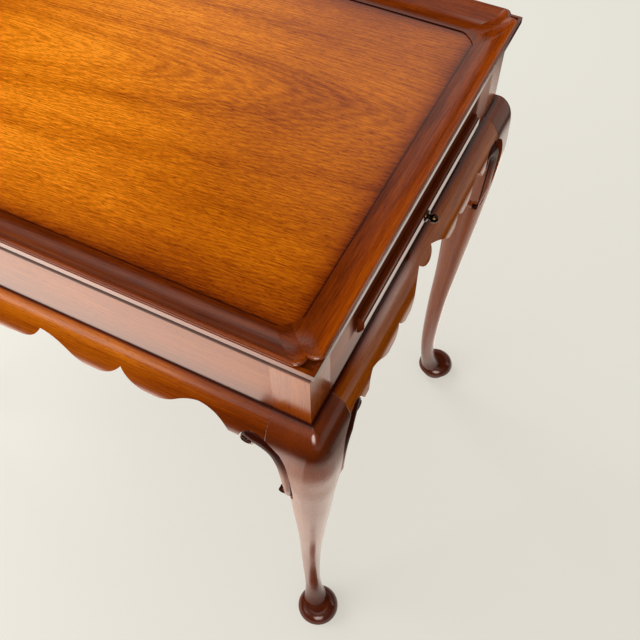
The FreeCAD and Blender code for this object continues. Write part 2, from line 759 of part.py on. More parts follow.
def moulding_wire(half, end, angle):
    """Closed section across one end of a length of moulding.

    The crest is cut back round a quarter ellipse to a cusp on the mitre: angle
    0 is where the cut starts and 90 degrees is the mitre itself.  The toe runs
    to its own shallow cusp and the base bead goes on to a square corner.
    """
    depth = size("notch_depth")
    along = size("notch_start") - depth
    turn = math.radians(angle)
    across = along - along * math.sin(turn) + depth * math.cos(turn)
    crest_cut = depth * (1 - math.cos(turn))
    toe_cut = size("toe_notch_depth") * (1 - across / size("notch_start")) ** TOE_CUSP_POWER
    edges = []
    for run in moulding_curves():
        points = []
        for reach, height, toe_share, crest_share in run:
            out = reach - toe_share * toe_cut - crest_share * crest_cut
            x = half - (across - out)
            points.append(Vector(end * x, -out, height))
        if len(points) == 2:
            edges.append(Part.LineSegment(*points).toShape())
        else:
            curve = Part.BSplineCurve()
            curve.interpolate(points)
            edges.append(curve.toShape())
    return Part.Wire(edges)


def make_moulding(side):
    """Coved tray moulding, mitred, with the crest cut to cusps at both ends."""
    turn, x_factor, y_factor = SIDES[side]
    half = value_of(side_length(side)) / 2
    straight = [moulding_wire(half, end, 0) for end in (-1, 1)]
    solid = Part.makeLoft(straight, True, True)
    ends = []
    for end in (-1, 1):
        wires = [moulding_wire(half, end, 90 * step / MITRE_STEPS) for step in range(MITRE_STEPS + 1)]
        ends.append(Part.makeLoft(wires, True, False))
    piece = doc.addObject("Part::Feature", "Moulding_" + side)
    piece.Shape = solid.fuse(ends).removeSplitter()
    place(piece, turn, x_factor, y_factor)
    piece.setExpression("Placement.Base.z", "Sizes.frieze_top")
    return keep(piece, "tray_moulding_" + side)


# ---------------------------------------------------------------- candle slides
def half_turned(side):
    """Slides are drawn for the +X end and turned half round for the other."""
    return (0, 1, 0) if side == "right" else (180, -1, 0)


def make_slide_board(side):
    """Thin board that carries a candlestick, drilled for the knob's screw."""
    body = new_body("SlideBoard_" + side)
    outline = new_sketch(body, "SlideOutline_" + side, "XY_Plane")
    outline.setExpression("AttachmentOffset.Base.z", "Sizes.slide_bottom")
    inner_end = "-(Sizes.rail_thickness + Sizes.slide_travel + Sizes.stop_length + Sizes.slide_gap)"
    draw_rectangle(outline, inner_end, "-Sizes.slide_width / 2", "Sizes.slide_gap", "Sizes.slide_width / 2")
    pad(body, "SlidePad_" + side, outline, "Sizes.slide_thickness")
    hole = new_sketch(body, "ScrewHole_" + side, "YZ_Plane")
    hole.setExpression("AttachmentOffset.Base.z", "Sizes.slide_gap")
    draw_circle(hole, 0, "Sizes.knob_height", "Sizes.knob_screw_radius")
    pocket(body, "ScrewHoleCut_" + side, hole,
           "Sizes.knob_screw_length - Sizes.front_thickness")
    place(body, *half_turned(side))
    return keep(body, "slide_board_" + side)


def make_slide_front(side):
    """Moulded lip across the end of a slide: bevel below, quirk and bead above."""
    body = new_body("SlideFront_" + side)
    section = new_sketch(body, "FrontSection_" + side, "XZ_Plane")
    back = "Sizes.slide_gap"
    face = "Sizes.slide_gap + Sizes.front_thickness"
    draw_outline(section, [
        (back, "Sizes.front_bottom"),
        (back + " + Sizes.front_foot", "Sizes.front_bottom", -1, "Sizes.front_bevel_radius"),
        (face, "Sizes.front_bottom + Sizes.front_bevel_height"),
        (face, "Sizes.front_top - Sizes.front_quirk_drop", 1, "Sizes.front_bead_radius"),
        (face + " - Sizes.front_quirk_depth", "Sizes.front_top - Sizes.front_quirk_depth"),
        (face + " - Sizes.front_quirk_drop", "Sizes.front_top"),
        (back, "Sizes.front_top"),
    ])
    pad(body, "FrontPad_" + side, section, "Sizes.front_width", symmetric=True)
    hole = new_sketch(body, "FrontHole_" + side, "YZ_Plane")
    draw_circle(hole, 0, "Sizes.knob_height", "Sizes.knob_screw_radius")
    pocket(body, "FrontHoleCut_" + side, hole, "4 * Sizes.front_thickness", symmetric=True)
    place(body, *half_turned(side))
    return keep(body, "slide_front_" + side)


def make_knob(side):
    """Turned brass knob with a rosette and a screw shank."""
    body = new_body("Knob_" + side)
    profile = new_sketch(body, "KnobProfile_" + side, "XZ_Plane")
    face = "Sizes.slide_gap + Sizes.front_thickness"
    screw_tip = face + " - Sizes.knob_screw_length"
    screw_side = "Sizes.knob_height + Sizes.knob_screw_radius"
    outline = [(screw_tip, "Sizes.knob_height"), (screw_tip, screw_side), (face, screw_side)]
    for corner in outline_cells("knob"):
        outline.append((face + " + " + corner[0], "Sizes.knob_height + " + corner[1]) + corner[2:])
    knob_tip = outline[-1][0]
    outline.append((knob_tip, "Sizes.knob_height"))
    draw_outline(profile, outline)
    revolve(body, "KnobTurned_" + side, profile, "Edge10")
    place(body, *half_turned(side))
    return keep(body, "slide_knob_" + side)


def make_stop(side):
    """Batten on the slide's inner end that meets the rail when it is out."""
    box = doc.addObject("Part::Box", "Stop_" + side)
    box.setExpression("Length", "Sizes.stop_length")
    box.setExpression("Width", "Sizes.stop_width")
    box.setExpression("Height", "Sizes.stop_height")
    turn, x_factor, _ = half_turned(side)
    box.Placement = Placement(Vector(0, 0, 0), Rotation(Vector(0, 0, 1), turn))
    inner_end = ("(Sizes.table_length / 2 - Sizes.rail_thickness - Sizes.slide_travel"
                 " - Sizes.stop_length - Sizes.slide_gap)")
    box.setExpression("Placement.Base.x", "%d * %s" % (x_factor, inner_end))
    box.setExpression("Placement.Base.y", "-%d * Sizes.stop_width / 2" % x_factor)
    box.setExpression("Placement.Base.z", "Sizes.slide_bottom + Sizes.slide_thickness")
    return keep(box, "slide_stop_" + side)


def make_runner(side, place_word, mirror):
    """Grooved runner under the panel that holds one edge of a slide."""
    name = "%s_%s" % (side, place_word)
    body = new_body("Runner_" + name)
    section = new_sketch(body, "RunnerSection_" + name, "YZ_Plane")
    groove = "(Sizes.slide_width / 2 + Sizes.slide_gap)"
    lip = groove + " - Sizes.runner_lip"
    back = groove + " + Sizes.runner_wall"
    floor = "Sizes.slide_bottom - Sizes.slide_gap"
    ceiling = "Sizes.slide_bottom + Sizes.slide_thickness + Sizes.slide_gap"
    corners = [
        (lip, "Sizes.runner_bottom"), (back, "Sizes.runner_bottom"),
        (back, REBATE_FLOOR), (groove, REBATE_FLOOR),
        (groove, ceiling + " + Sizes.runner_lip"), (lip, ceiling + " + Sizes.runner_lip"),
        (lip, ceiling), (groove, ceiling), (groove, floor), (lip, floor),
    ]
    draw_outline(section, turned_way(mirror, corners))
    section.setExpression("AttachmentOffset.Base.z", "-Sizes.rail_thickness")
    pad(body, "RunnerPad_" + name, section, "Sizes.runner_length", reverse=True)
    place(body, *half_turned(side))
    return keep(body, "slide_runner_%s_%s" % (side, place_word))


# ---------------------------------------------------------------- hidden pieces
def make_block(side):
    """Glue block along the joint of a rail and its skirt."""
    turn, x_factor, y_factor = SIDES[side]
    body = new_body("Block_" + side)
    section = new_sketch(body, "BlockSection_" + side, "YZ_Plane")
    draw_rectangle(section, "Sizes.rail_thickness", "Sizes.block_bottom",
                   "Sizes.rail_thickness + Sizes.block_thickness", "Sizes.block_top")
    pad(body, "BlockPad_" + side, section,
        "%s - 2 * (Sizes.post_width + Sizes.block_end_gap)" % side_length(side), symmetric=True)
    place(body, turn, x_factor, y_factor)
    return keep(body, "glue_block_" + side)


def make_cleat(side, screws):
    """Cleat glued inside a long rail, with the holes of its screws."""
    turn, x_factor, y_factor = SIDES[side]
    blank = doc.addObject("Part::Box", "CleatBlank_" + side)
    blank.setExpression("Length", "Sizes.cleat_length")
    blank.setExpression("Width", "Sizes.cleat_width")
    blank.setExpression("Height", "Sizes.cleat_thickness")
    way = -y_factor
    low_y = "Sizes.table_depth / 2 - Sizes.rail_thickness"
    if way > 0:
        low_y = "-(%s)" % low_y
    else:
        low_y = low_y + " - Sizes.cleat_width"
    blank.setExpression("Placement.Base.x", "-Sizes.cleat_length / 2")
    blank.setExpression("Placement.Base.y", low_y)
    blank.setExpression("Placement.Base.z", REBATE_FLOOR + " - Sizes.cleat_thickness")
    cleat = doc.addObject("Part::Cut", "Cleat_" + side)
    cleat.Base = blank
    cleat.Tool = screws
    return keep(cleat, "top_cleat_" + side)


def make_screws():
    """Countersunk screws that hold the panel down through the cleats."""
    head_face = size("frieze_top") - size("panel_thickness") - size("cleat_thickness")
    radius, head = size("screw_radius"), size("screw_head_radius")
    length = size("cleat_thickness") + size("screw_depth")
    middle = size("table_depth") / 2 - size("rail_thickness") - size("cleat_width") / 2
    spacing = size("cleat_length") / 2 - size("screw_end_distance")
    screws = []
    for y in (-middle, middle):
        for x in (-spacing, 0, spacing):
            foot = Vector(x, y, head_face)
            shank = Part.makeCylinder(radius, length, foot)
            cone = Part.makeCone(head, radius, head - radius, foot)
            screws.append(shank.fuse(cone).removeSplitter())
    group = doc.addObject("Part::Feature", "Screws")
    group.Shape = Part.makeCompound(screws)
    return group


# ---------------------------------------------------------------- write the parts
def check_and_write():
    """Stop on any failed object, then write each sub-part."""
    for item in doc.Objects:
        for word in ("Invalid", "Error"):
            if word in item.State:
                raise RuntimeError("%s is %s" % (item.Label, word))
    for piece in nodes:
        if piece.Shape.isNull() or not piece.Shape.isValid():
            raise RuntimeError("%s has no valid shape" % piece.Label)
    os.makedirs("parts", exist_ok=True)
    for piece in nodes:
        piece.Shape.exportStep("parts/%s.step" % piece.Label)
        print("%-28s %10.0f mm3" % (piece.Label, piece.Shape.Volume))


screws = make_screws()
keep(screws, "top_screws")
drilled = doc.addObject("Part::Cut", "Panel")
drilled.Base = make_panel()
drilled.Tool = screws
keep(drilled, "tray_panel")
for side in SIDES:
    make_moulding(side)
    make_rail(side)
    make_skirt(side)
    make_block(side)
for side in ("front", "back"):
    make_cleat(side, screws)
for corner in CORNERS:
    make_leg(corner)
    for face in FACES:
        make_return(corner, face)
for side in ("left", "right"):
    make_slide_board(side)
    make_slide_front(side)
    make_knob(side)
    make_stop(side)
    for place_word, mirror in (("front", -1), ("back", 1)):
        make_runner(side, place_word, mirror * (1 if side == "right" else -1))
doc.recompute()
check_and_write()
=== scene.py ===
# %% [markdown]
# # A mahogany tray top tea table
# The table is joined from solid mahogany: a tray with a coved rim, a plain
# frieze, a scalloped skirt and four cabriole legs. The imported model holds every
# piece at its real size, so this lesson starts from it and gives each piece its
# finish: polished wood whose figure follows the way each board was sawn.

# %% Load the fixed frame
import math

import bmesh
import bpy
from mathutils import Matrix, Vector


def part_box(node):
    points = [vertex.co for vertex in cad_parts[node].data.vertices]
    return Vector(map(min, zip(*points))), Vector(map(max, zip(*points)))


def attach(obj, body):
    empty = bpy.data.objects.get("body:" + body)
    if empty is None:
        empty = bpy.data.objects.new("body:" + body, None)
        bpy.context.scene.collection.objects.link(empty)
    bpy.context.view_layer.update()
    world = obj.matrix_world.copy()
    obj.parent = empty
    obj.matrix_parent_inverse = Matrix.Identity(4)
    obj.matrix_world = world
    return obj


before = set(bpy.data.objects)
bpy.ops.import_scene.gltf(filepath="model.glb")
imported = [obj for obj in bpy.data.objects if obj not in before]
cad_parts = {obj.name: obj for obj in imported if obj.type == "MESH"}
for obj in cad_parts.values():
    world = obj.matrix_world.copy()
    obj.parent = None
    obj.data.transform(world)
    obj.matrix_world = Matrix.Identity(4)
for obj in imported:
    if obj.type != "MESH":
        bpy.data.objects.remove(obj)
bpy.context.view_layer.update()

# %% [markdown]
# ## Sizes that the finishes need
# Blender works in metres. The frieze is the plain box under the tray, and its
# size is read from the panel and the rails, so that nothing is typed twice.

# %% Read the main sizes from the frame
MM = 0.001
panel_high = Vector(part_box("tray_panel")[1])
rail_low = Vector(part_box("frieze_rail_front")[0])
end_high = Vector(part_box("frieze_rail_right")[1])
HALF_LENGTH = end_high.x
HALF_DEPTH = -rail_low.y
FIELD_HEIGHT = panel_high.z
FRIEZE_BOTTOM = rail_low.z
print("frieze", round(2 * HALF_LENGTH, 4), "x", round(2 * HALF_DEPTH, 4))
print("field at", round(FIELD_HEIGHT, 4), "and foot of the frieze at", round(FRIEZE_BOTTOM, 4))

# %% [markdown]
# ## The camera
# The view looks down on the front right corner from above. A camera is placed
# by a point and three turns: about the vertical, down from the horizon, and a
# slight roll of the hands. The lens is given in millimetres on a 36 mm sensor.

# %% Camera
SENSOR_MM = 36.0
LENS_MM = 44.664
NEAREST_SHOWN = 10 * MM
# right of the end of the frieze, in front of its long face, and above the floor
CAMERA_PLACE = Vector((HALF_LENGTH + 138.91 * MM, -HALF_DEPTH - 250.86 * MM, 1138.39 * MM))
CAMERA_TURN = math.radians(27.33)
CAMERA_DIP = math.radians(55.87)
CAMERA_ROLL = math.radians(-0.918)
camera_data = bpy.data.cameras.new("viewpoint")
camera_data.sensor_width = SENSOR_MM
camera_data.lens = LENS_MM
camera_data.clip_start = NEAREST_SHOWN
camera = bpy.data.objects.new("viewpoint", camera_data)
camera.matrix_world = (
    Matrix.Translation(CAMERA_PLACE)
    @ Matrix.Rotation(CAMERA_TURN, 4, "Z")
    @ Matrix.Rotation(math.pi / 2 - CAMERA_DIP, 4, "X")
    @ Matrix.Rotation(CAMERA_ROLL, 4, "Z")
)
bpy.context.scene.collection.objects.link(camera)
bpy.context.scene.camera = camera
print("camera at", [round(v, 3) for v in CAMERA_PLACE])

# %% [markdown]
# ## Colour and node helpers
# Colours are written as sRGB hex values, the way a paint chart gives them, and
# one function turns them into the linear values that the renderer works in.
# One small helper adds a node with its settings and links.


# %% Colours and nodes
def linear(hex_colour, alpha=1.0):
    """Turn an sRGB hex colour into linear RGBA."""
    values = [int(hex_colour[i:i + 2], 16) / 255 for i in (1, 3, 5)]
    levels = [v / 12.92 if v <= 0.04045 else ((v + 0.055) / 1.055) ** 2.4 for v in values]
    return (*levels, alpha)


def add_node(tree, kind, inputs=None, **settings):
    """Add one node, set its properties, and set or link its inputs."""
    node = tree.nodes.new(kind)
    for name, value in settings.items():
        setattr(node, name, value)
    for key, value in (inputs or {}).items():
        socket = node.inputs[key]
        if isinstance(value, bpy.types.NodeSocket):
            tree.links.new(value, socket)
        else:
            socket.default_value = value
    return node


print("brown brass in linear values:", [round(v, 3) for v in linear("#4E3C26")])

# %% [markdown]
# ### Levels that change from place to place
# Tone and shine change over every piece, and painted light and shade are part of them: light on a
# crest, dark in a hollow.
# The plainest way to say so is a short list of places and the level at each, so
# one function turns such a list into a curve, and two more multiply and add
# levels. Places are in millimetres, unless another unit is given.


# %% Curves, products and sums
def set_ramp(ramp, stops):
    """Give a colour ramp its (position, RGBA) stops."""
    elements = ramp.color_ramp.elements
    while len(elements) < len(stops):
        elements.new(0.5)
    for element, (position, colour) in zip(elements, stops):
        element.position = position
        element.color = colour


def tone_ramp(tree, value, stops):
    """A colour ramp from (position, hex colour) stops."""
    ramp = add_node(tree, "ShaderNodeValToRGB", {"Fac": value})
    set_ramp(ramp, [(position, linear(colour)) for position, colour in stops])
    return ramp.outputs["Color"]


def profile(tree, value, points, unit=MM):
    """Read a level off a curve that is given by (place, level) points."""
    first, last = points[0][0], points[-1][0]
    share = add_node(tree, "ShaderNodeMapRange", {
        "Value": value, "From Min": first * unit, "From Max": last * unit})
    ramp = add_node(tree, "ShaderNodeValToRGB", {"Fac": share.outputs["Result"]})
    set_ramp(ramp, [
        ((place - first) / (last - first), (level, level, level, 1.0)) for place, level in points])
    return ramp.outputs["Color"]


def product(tree, first, *others):
    """Multiply levels."""
    for other in others:
        first = add_node(tree, "ShaderNodeMath", {0: first, 1: other}, operation="MULTIPLY").outputs[0]
    return first


def weighted_sum(tree, parts, total=0.0):
    """Add to a total some levels, each times its weight."""
    for value, weight in parts:
        total = add_node(tree, "ShaderNodeMath", {
            0: value, 1: weight, 2: total}, operation="MULTIPLY_ADD").outputs[0]
    return total


def coordinates(tree, place):
    """The place along each axis, and how far it lies from each middle plane."""
    axes = add_node(tree, "ShaderNodeSeparateXYZ", {"Vector": place}).outputs
    at = {"x": axes["X"], "y": axes["Y"], "z": axes["Z"]}
    at["aside"] = add_node(tree, "ShaderNodeMath", {0: at["x"]}, operation="ABSOLUTE").outputs[0]
    at["across"] = add_node(tree, "ShaderNodeMath", {0: at["y"]}, operation="ABSOLUTE").outputs[0]
    return at


def patch(tree, at, curves, unit=MM):
    """Multiply curves, each along its own coordinate, so that they bound a patch."""
    return product(tree, *[profile(tree, at[name], points, unit) for name, points in curves.items()])


print("places are read in units of", MM, "m")

# %% [markdown]
# ## The mahogany finishes
# Mahogany is a reddish brown hardwood with long wandering figure, fine fibre
# streaks and open pores that show as short dark flecks. It is filled and French
# polished, so a hard clear coat of shellac lies over the wood: the coat gives
# all the sheen, and the wood beneath only scatters its own colour. Stain and
# age move every board along one row of tones, from nearly black through red
# brown to orange, so each finish is one depth of tone, and noises stretched
# along the grain swing it to both sides. Figure, fibre and pores each have
# their own size. Real fibres and pores are about 0.2 mm wide, which is too fine
# to show, so they are drawn about 1 mm wide.

# %% Noise along the grain
SHELLAC_IOR = 1.52
GRAIN_TURNS = {"X": (0, 0, 0), "Y": (0, 0, math.pi / 2), "Z": (0, math.pi / 2, 0)}
MAHOGANY_TONES = (
    (0.00, "#1C0501"), (0.05, "#3F1307"), (0.12, "#612404"), (0.20, "#7C3104"), (0.30, "#954206"),
    (0.45, "#B15708"), (0.62, "#CC6D0A"), (0.80, "#E6800E"), (1.00, "#FF9A20"),
)
# length and width in millimetres, then the noise's detail, roughness and distortion
BROAD_FIGURE = (190, 22, 3.0, 0.55, 0.7)
FIBRES = (34, 1.1, 3.0, 0.72, 0.3)
PORES = (5.5, 0.8, 1.0, 0.5, 0.0)
RIPPLES = (11, 1.5, 2.0, 0.6, 0.8)
# nearly all of a noise lies between these levels
NOISE_LOW = 0.36
NOISE_HIGH = 0.64


def streaks(tree, along, kind):
    """Noise drawn out along the grain, with its streaks at a real size."""
    length, width, detail, roughness, distortion = kind
    stretch = add_node(tree, "ShaderNodeMapping", {
        "Vector": along, "Scale": (1 / (length * MM), 1 / (width * MM), 1 / (width * MM))})
    noise = add_node(tree, "ShaderNodeTexNoise", {
        "Vector": stretch.outputs["Vector"], "Scale": 1.0, "Detail": detail,
        "Roughness": roughness, "Distortion": distortion})
    return noise.outputs


def crisp(tree, noise):
    """Stretch a noise so that its streaks reach from 0 to 1."""
    spread = add_node(tree, "ShaderNodeMapRange", {
        "Value": noise["Fac"], "From Min": NOISE_LOW, "From Max": NOISE_HIGH})
    return spread.outputs["Result"]


print("tones of mahogany:", len(MAHOGANY_TONES))

# %% [markdown]
# ### One function for all the mahogany
# Every board gets the same wood, and differs in the depth of its tone, in how strongly the figure shows
# and in how well it is polished. Where a board is toned or carries painted shade, or its polish is worn
# or dulled along with the painted shade, a small function of its own gives the share at each place.

# %% Mahogany material
# shares of broad figure and fibres in the pattern of a plain board
PLAIN_SHARES = (0.72, 0.28)
# shares of broad figure, growth rings, fibres and ripples in a figured one
FIGURED_SHARES = (0.22, 0.44, 0.20, 0.14)
# the levels of the pattern that swing the tone all the way down and up
PATTERN_LOW = 0.32
PATTERN_HIGH = 0.68
# the levels of the pore noise where a fleck starts and where it is full
FLECK_START = 0.56
FLECK_FULL = 0.72
PORE_DEPTH = 0.15 * MM
PORE_STRENGTH = 0.05
# with no specular of its own the wood only scatters light, so this hardly shows
WOOD_ROUGHNESS = 0.5


def grain_pattern(tree, place, along, figure):
    """The light and dark of the grain."""
    broad = streaks(tree, along, BROAD_FIGURE)
    fibres = crisp(tree, streaks(tree, along, FIBRES))
    if not figure:
        return weighted_sum(tree, zip((broad["Fac"], fibres), PLAIN_SHARES))
    rings = figure(tree, place, broad["Color"])
    ripples = crisp(tree, streaks(tree, along, RIPPLES))
    return weighted_sum(tree, zip((broad["Fac"], rings, fibres, ripples), FIGURED_SHARES))


def wood(name, grain, tone, swing, toning=None, polish=None, coat_roughness=0.08, figure=None,
         tones=MAHOGANY_TONES, coat=1.0, fleck_depth=0.25):
    """Polished wood with its grain along one axis of the table."""
    material = bpy.data.materials.new(name)
    material.use_nodes = True
    tree = material.node_tree
    tree.nodes.clear()
    place = add_node(tree, "ShaderNodeTexCoord").outputs["Object"]
    at = coordinates(tree, place) if toning or polish else None
    along = add_node(tree, "ShaderNodeMapping", {
        "Vector": place, "Rotation": GRAIN_TURNS[grain]}).outputs["Vector"]
    share = add_node(tree, "ShaderNodeMapRange", {
        "Value": grain_pattern(tree, place, along, figure), "From Min": PATTERN_LOW,
        "From Max": PATTERN_HIGH, "To Min": 1 - swing, "To Max": 1 + swing}, clamp=False)
    fleck = add_node(tree, "ShaderNodeMapRange", {
        "Value": streaks(tree, along, PORES)["Fac"], "From Min": FLECK_START,
        "From Max": FLECK_FULL, "To Min": 1.0, "To Max": 1 - fleck_depth})
    levels = toning(tree, at) if toning else ()
    depth = product(tree, share.outputs["Result"], tone, fleck.outputs["Result"], *levels)
    bump = add_node(tree, "ShaderNodeBump", {
        "Height": fleck.outputs["Result"], "Strength": PORE_STRENGTH, "Distance": PORE_DEPTH})
    shader = add_node(tree, "ShaderNodeBsdfPrincipled", {
        "Base Color": tone_ramp(tree, depth, tones), "Roughness": WOOD_ROUGHNESS,
        "Specular IOR Level": 0.0, "Coat Weight": polish(tree, at) if polish else coat,
        "Coat Roughness": coat_roughness, "Coat IOR": SHELLAC_IOR, "Normal": bump.outputs["Normal"]})
    add_node(tree, "ShaderNodeOutputMaterial", {"Surface": shader.outputs["BSDF"]})
    return material


slide_wood = wood("waxed mahogany slides", "X", 0.22, 0.35, coat_roughness=0.25)
front_wood = wood("polished mahogany slide fronts", "Y", 0.20, 0.35)
print("plain finishes:", slide_wood.name, "and", front_wood.name)

# %% [markdown]
# ### The figure of the top board
# A flat sawn board cuts the cone of the growth rings at a slant, so the rings
# show as long nested arches. Here they are ellipses eight times as long as
# they are wide, turned a little off the board's edge, and bent by the same
# noise as the broad figure. A fine ripple between them stands for the seasons.

# %% Arches of the top
ARCH_CENTRE = (-223 * MM, -21 * MM, 0.0)
ARCH_SLANT = math.radians(8.0)
ARCH_STRETCH = 8.0
# how far the broad noise moves the arches, along and across the board
ARCH_BEND = (60 * MM, 16 * MM, 0.0)
NOISE_MIDDLE = (0.5, 0.5, 0.5)
# distance from the centre in millimetres, and brightness
ARCH_RINGS = (
    (0, 0.60), (30, 0.76), (39, 0.50), (50, 0.66), (59, 0.38), (68, 0.62), (90, 0.68),
    (112, 0.44), (125, 0.64), (155, 0.56), (188, 0.64), (220, 0.46), (250, 0.6),
)
SEASON_WIDTH = 3.2 * MM
SEASON_SHARE = 0.12


def arches(tree, place, drift):
    """Brightness of the nested arches: low on a dark late ring, high between rings."""
    centred = add_node(tree, "ShaderNodeVectorMath", {
        0: drift, 1: NOISE_MIDDLE}, operation="SUBTRACT").outputs[0]
    bend = add_node(tree, "ShaderNodeVectorMath", {
        0: centred, 1: ARCH_BEND}, operation="MULTIPLY").outputs[0]
    bent = add_node(tree, "ShaderNodeVectorMath", {0: place, 1: bend}, operation="ADD").outputs[0]
    moved = add_node(tree, "ShaderNodeMapping", {
        "Vector": bent, "Location": ARCH_CENTRE, "Rotation": (0.0, 0.0, ARCH_SLANT),
        "Scale": (ARCH_STRETCH, 1.0, 0.0)}, vector_type="TEXTURE").outputs[0]
    distance = add_node(tree, "ShaderNodeVectorMath", {0: moved}, operation="LENGTH").outputs["Value"]
    rings = profile(tree, distance, ARCH_RINGS)
    seasons = add_node(tree, "ShaderNodeMath", {
        0: product(tree, distance, 2 * math.pi / SEASON_WIDTH)}, operation="SINE").outputs[0]
    return weighted_sum(tree, [(rings, 1.0), (seasons, SEASON_SHARE)])


print("arches out to", ARCH_RINGS[-1][0], "mm from their centre")

# %% [markdown]
# ### Finish of the top
# The middle of the board is the lightest and its ends are painted darker, as painted shade of a light
# that falls off along the table, mirrored to both ends. Painted shade lies beside the moulding, darkest
# in the last millimetre.

# %% Top
# painted shade: darker towards the ends, where the light falls off along the table, and towards the
# long edges
TOP_SHADE_TONES = {
    "aside": ((0, 1.0), (50, 0.94), (120, 0.84), (200, 0.64), (280, 0.66), (350, 0.62)),
    "y": ((-200, 0.88), (-120, 1.0), (0, 0.97), (80, 0.96), (200, 0.84))}
# how far the toe of the moulding lies inside the frieze, and how the corners round off
TOE_INSET = 23.6 * MM
CORNER_BLEND = 10 * MM
# distance from the toe, and tone with painted shade
TOE_SHADE_TONES = ((0, 0.04), (1.2, 0.12), (3, 0.38), (7, 0.55), (14, 0.78), (28, 0.92), (45, 1.0))


def top_toning(tree, at):
    """Tone of the top: light in the middle, painted shade beside the moulding."""
    gap_x = weighted_sum(tree, [(at["aside"], -1.0)], HALF_LENGTH - TOE_INSET)
    gap_y = weighted_sum(tree, [(at["across"], -1.0)], HALF_DEPTH - TOE_INSET)
    gap = add_node(tree, "ShaderNodeMath", {
        0: gap_x, 1: gap_y, 2: CORNER_BLEND}, operation="SMOOTH_MIN").outputs[0]
    return patch(tree, at, TOP_SHADE_TONES), profile(tree, gap, TOE_SHADE_TONES)


top_wood = wood(
    "polished mahogany top", "X", 0.77, 0.42, top_toning, figure=arches, fleck_depth=0.45)
print("nodes in the finish of the top:", len(top_wood.node_tree.nodes))

# %% [markdown]
# ### Finish of the moulding and its fillet
# The moulding is painted dark where it meets the field, as painted shade in that corner, and is lighter
# towards its crest. The fillet under the crest is darker at the ends.

# %% Moulding and fillet
FIELD_MM = FIELD_HEIGHT / MM
# painted shade at the toe, where the moulding meets the field
RIM_TONES = (
    (FIELD_MM, 0.05), (FIELD_MM + 0.5, 0.12), (FIELD_MM + 0.9, 0.60), (FIELD_MM + 1.6, 1.0),
    (FIELD_MM + 9, 1.0), (FIELD_MM + 13, 1.2), (FIELD_MM + 17, 1.1))
END_MM = HALF_LENGTH / MM
FILLET_TONES = ((END_MM, 1.0), (END_MM + 4, 0.6))


def rim_toning(tree, at):
    """Tone of the moulding: painted shade at its toe on the field, light on its crest."""
    return (profile(tree, at["z"], RIM_TONES),)


def fillet_toning(tree, at):
    """Tone of the fillet: full in front and behind, darker at the ends."""
    return (profile(tree, at["aside"], FILLET_TONES),)


rim_wood = {
    "X": wood("polished mahogany moulding along", "X", 0.17, 0.40, rim_toning),
    "Y": wood("polished mahogany moulding across", "Y", 0.205, 0.40, rim_toning)}
fillet_wood = wood("polished mahogany fillet", "X", 0.26, 0.2, fillet_toning, coat_roughness=0.10)
print("wood finishes:", len(bpy.data.materials))

# %% [markdown]
# ### Finish of the frieze
# Painted shade lies in two lines along the frieze, one in the quirk above the skirt, fading up the
# frieze, and one under the bead of the tray, and there the wood is painted dark and dull. At the ends
# the band over the slot of the slide is painted dark and dull as shade too.

# %% Frieze
FOOT_MM = FRIEZE_BOTTOM / MM
# the height at which the painted shade line under the bead starts
BEAD_SHADE_MM = 633.8
BEAD_SHADE_TONES = ((BEAD_SHADE_MM - 1.5, 1.0), (BEAD_SHADE_MM, 0.30), (BEAD_SHADE_MM + 2, 0.12))
BEAD_SHADE_SHINE = ((BEAD_SHADE_MM - 1.5, 1.0), (BEAD_SHADE_MM, 0.3), (BEAD_SHADE_MM + 5, 0.1))
# painted shade: dark in the quirk above the skirt, fading upwards, and a line under the bead
FRIEZE_TONES = (
    (FOOT_MM, 0.15), (FOOT_MM + 2, 0.40), (FOOT_MM + 5, 0.62), (FOOT_MM + 20, 0.80),
    (FOOT_MM + 35, 1.0), *BEAD_SHADE_TONES, (BEAD_SHADE_MM + 5, 0.1))
FRIEZE_SHINE = ((FOOT_MM, 0.1), (FOOT_MM + 1.5, 0.5), (FOOT_MM + 3, 1.0), *BEAD_SHADE_SHINE)
# painted shade of the gap above the slide front, on the end frieze over the slot
SLOT_SHADE_BAND = {"z": ((592, 0.0), (597, 1.0), (655, 1.0)), "across": ((140, 1.0), (150, 0.0))}
SLOT_SHADE_TONE = 0.3
SLOT_SHADE_SHINE = 0.12


def slot_shade_share(tree, at, level):
    """Share of tone or shine: this level in the painted shade along the slide's slot, and 1 elsewhere.
    """
    return weighted_sum(tree, [(patch(tree, at, SLOT_SHADE_BAND), level - 1.0)], 1.0)


def frieze_toning(tree, at):
    """Tone of the frieze: painted shade in the quirk above the skirt and under the bead."""
    return (profile(tree, at["z"], FRIEZE_TONES),)


def frieze_polish(tree, at):
    """Shine of the frieze: dulled with the painted shade in the quirk and under the bead."""
    return profile(tree, at["z"], FRIEZE_SHINE)


def end_frieze_toning(tree, at):
    """Tone of the end frieze: as the long one, and painted shade along the slot."""
    return (*frieze_toning(tree, at), slot_shade_share(tree, at, SLOT_SHADE_TONE))


def end_frieze_polish(tree, at):
    """Shine of the end frieze: as the long one, and dulled with the painted shade along the slot."""
    return product(tree, frieze_polish(tree, at), slot_shade_share(tree, at, SLOT_SHADE_SHINE))


frieze_wood = {
    "X": wood("polished mahogany long frieze", "X", 0.39, 0.18, frieze_toning, frieze_polish, 0.30),
    "Y": wood(
        "polished mahogany end frieze", "Y", 0.39, 0.18, end_frieze_toning, end_frieze_polish, 0.40)}
print("wood finishes:", len(bpy.data.materials))

# %% [markdown]
# ### Finish of the skirts
# The long skirt is light in the middle and painted darker towards the legs and along its scalloped
# edge: painted shade of a light that falls off along the table, mirrored to both ends, and that lights
# the top of the skirt more than its lower edge. The quirk, the narrow hollow where the skirt meets the
# frieze, is painted nearly black as shade.

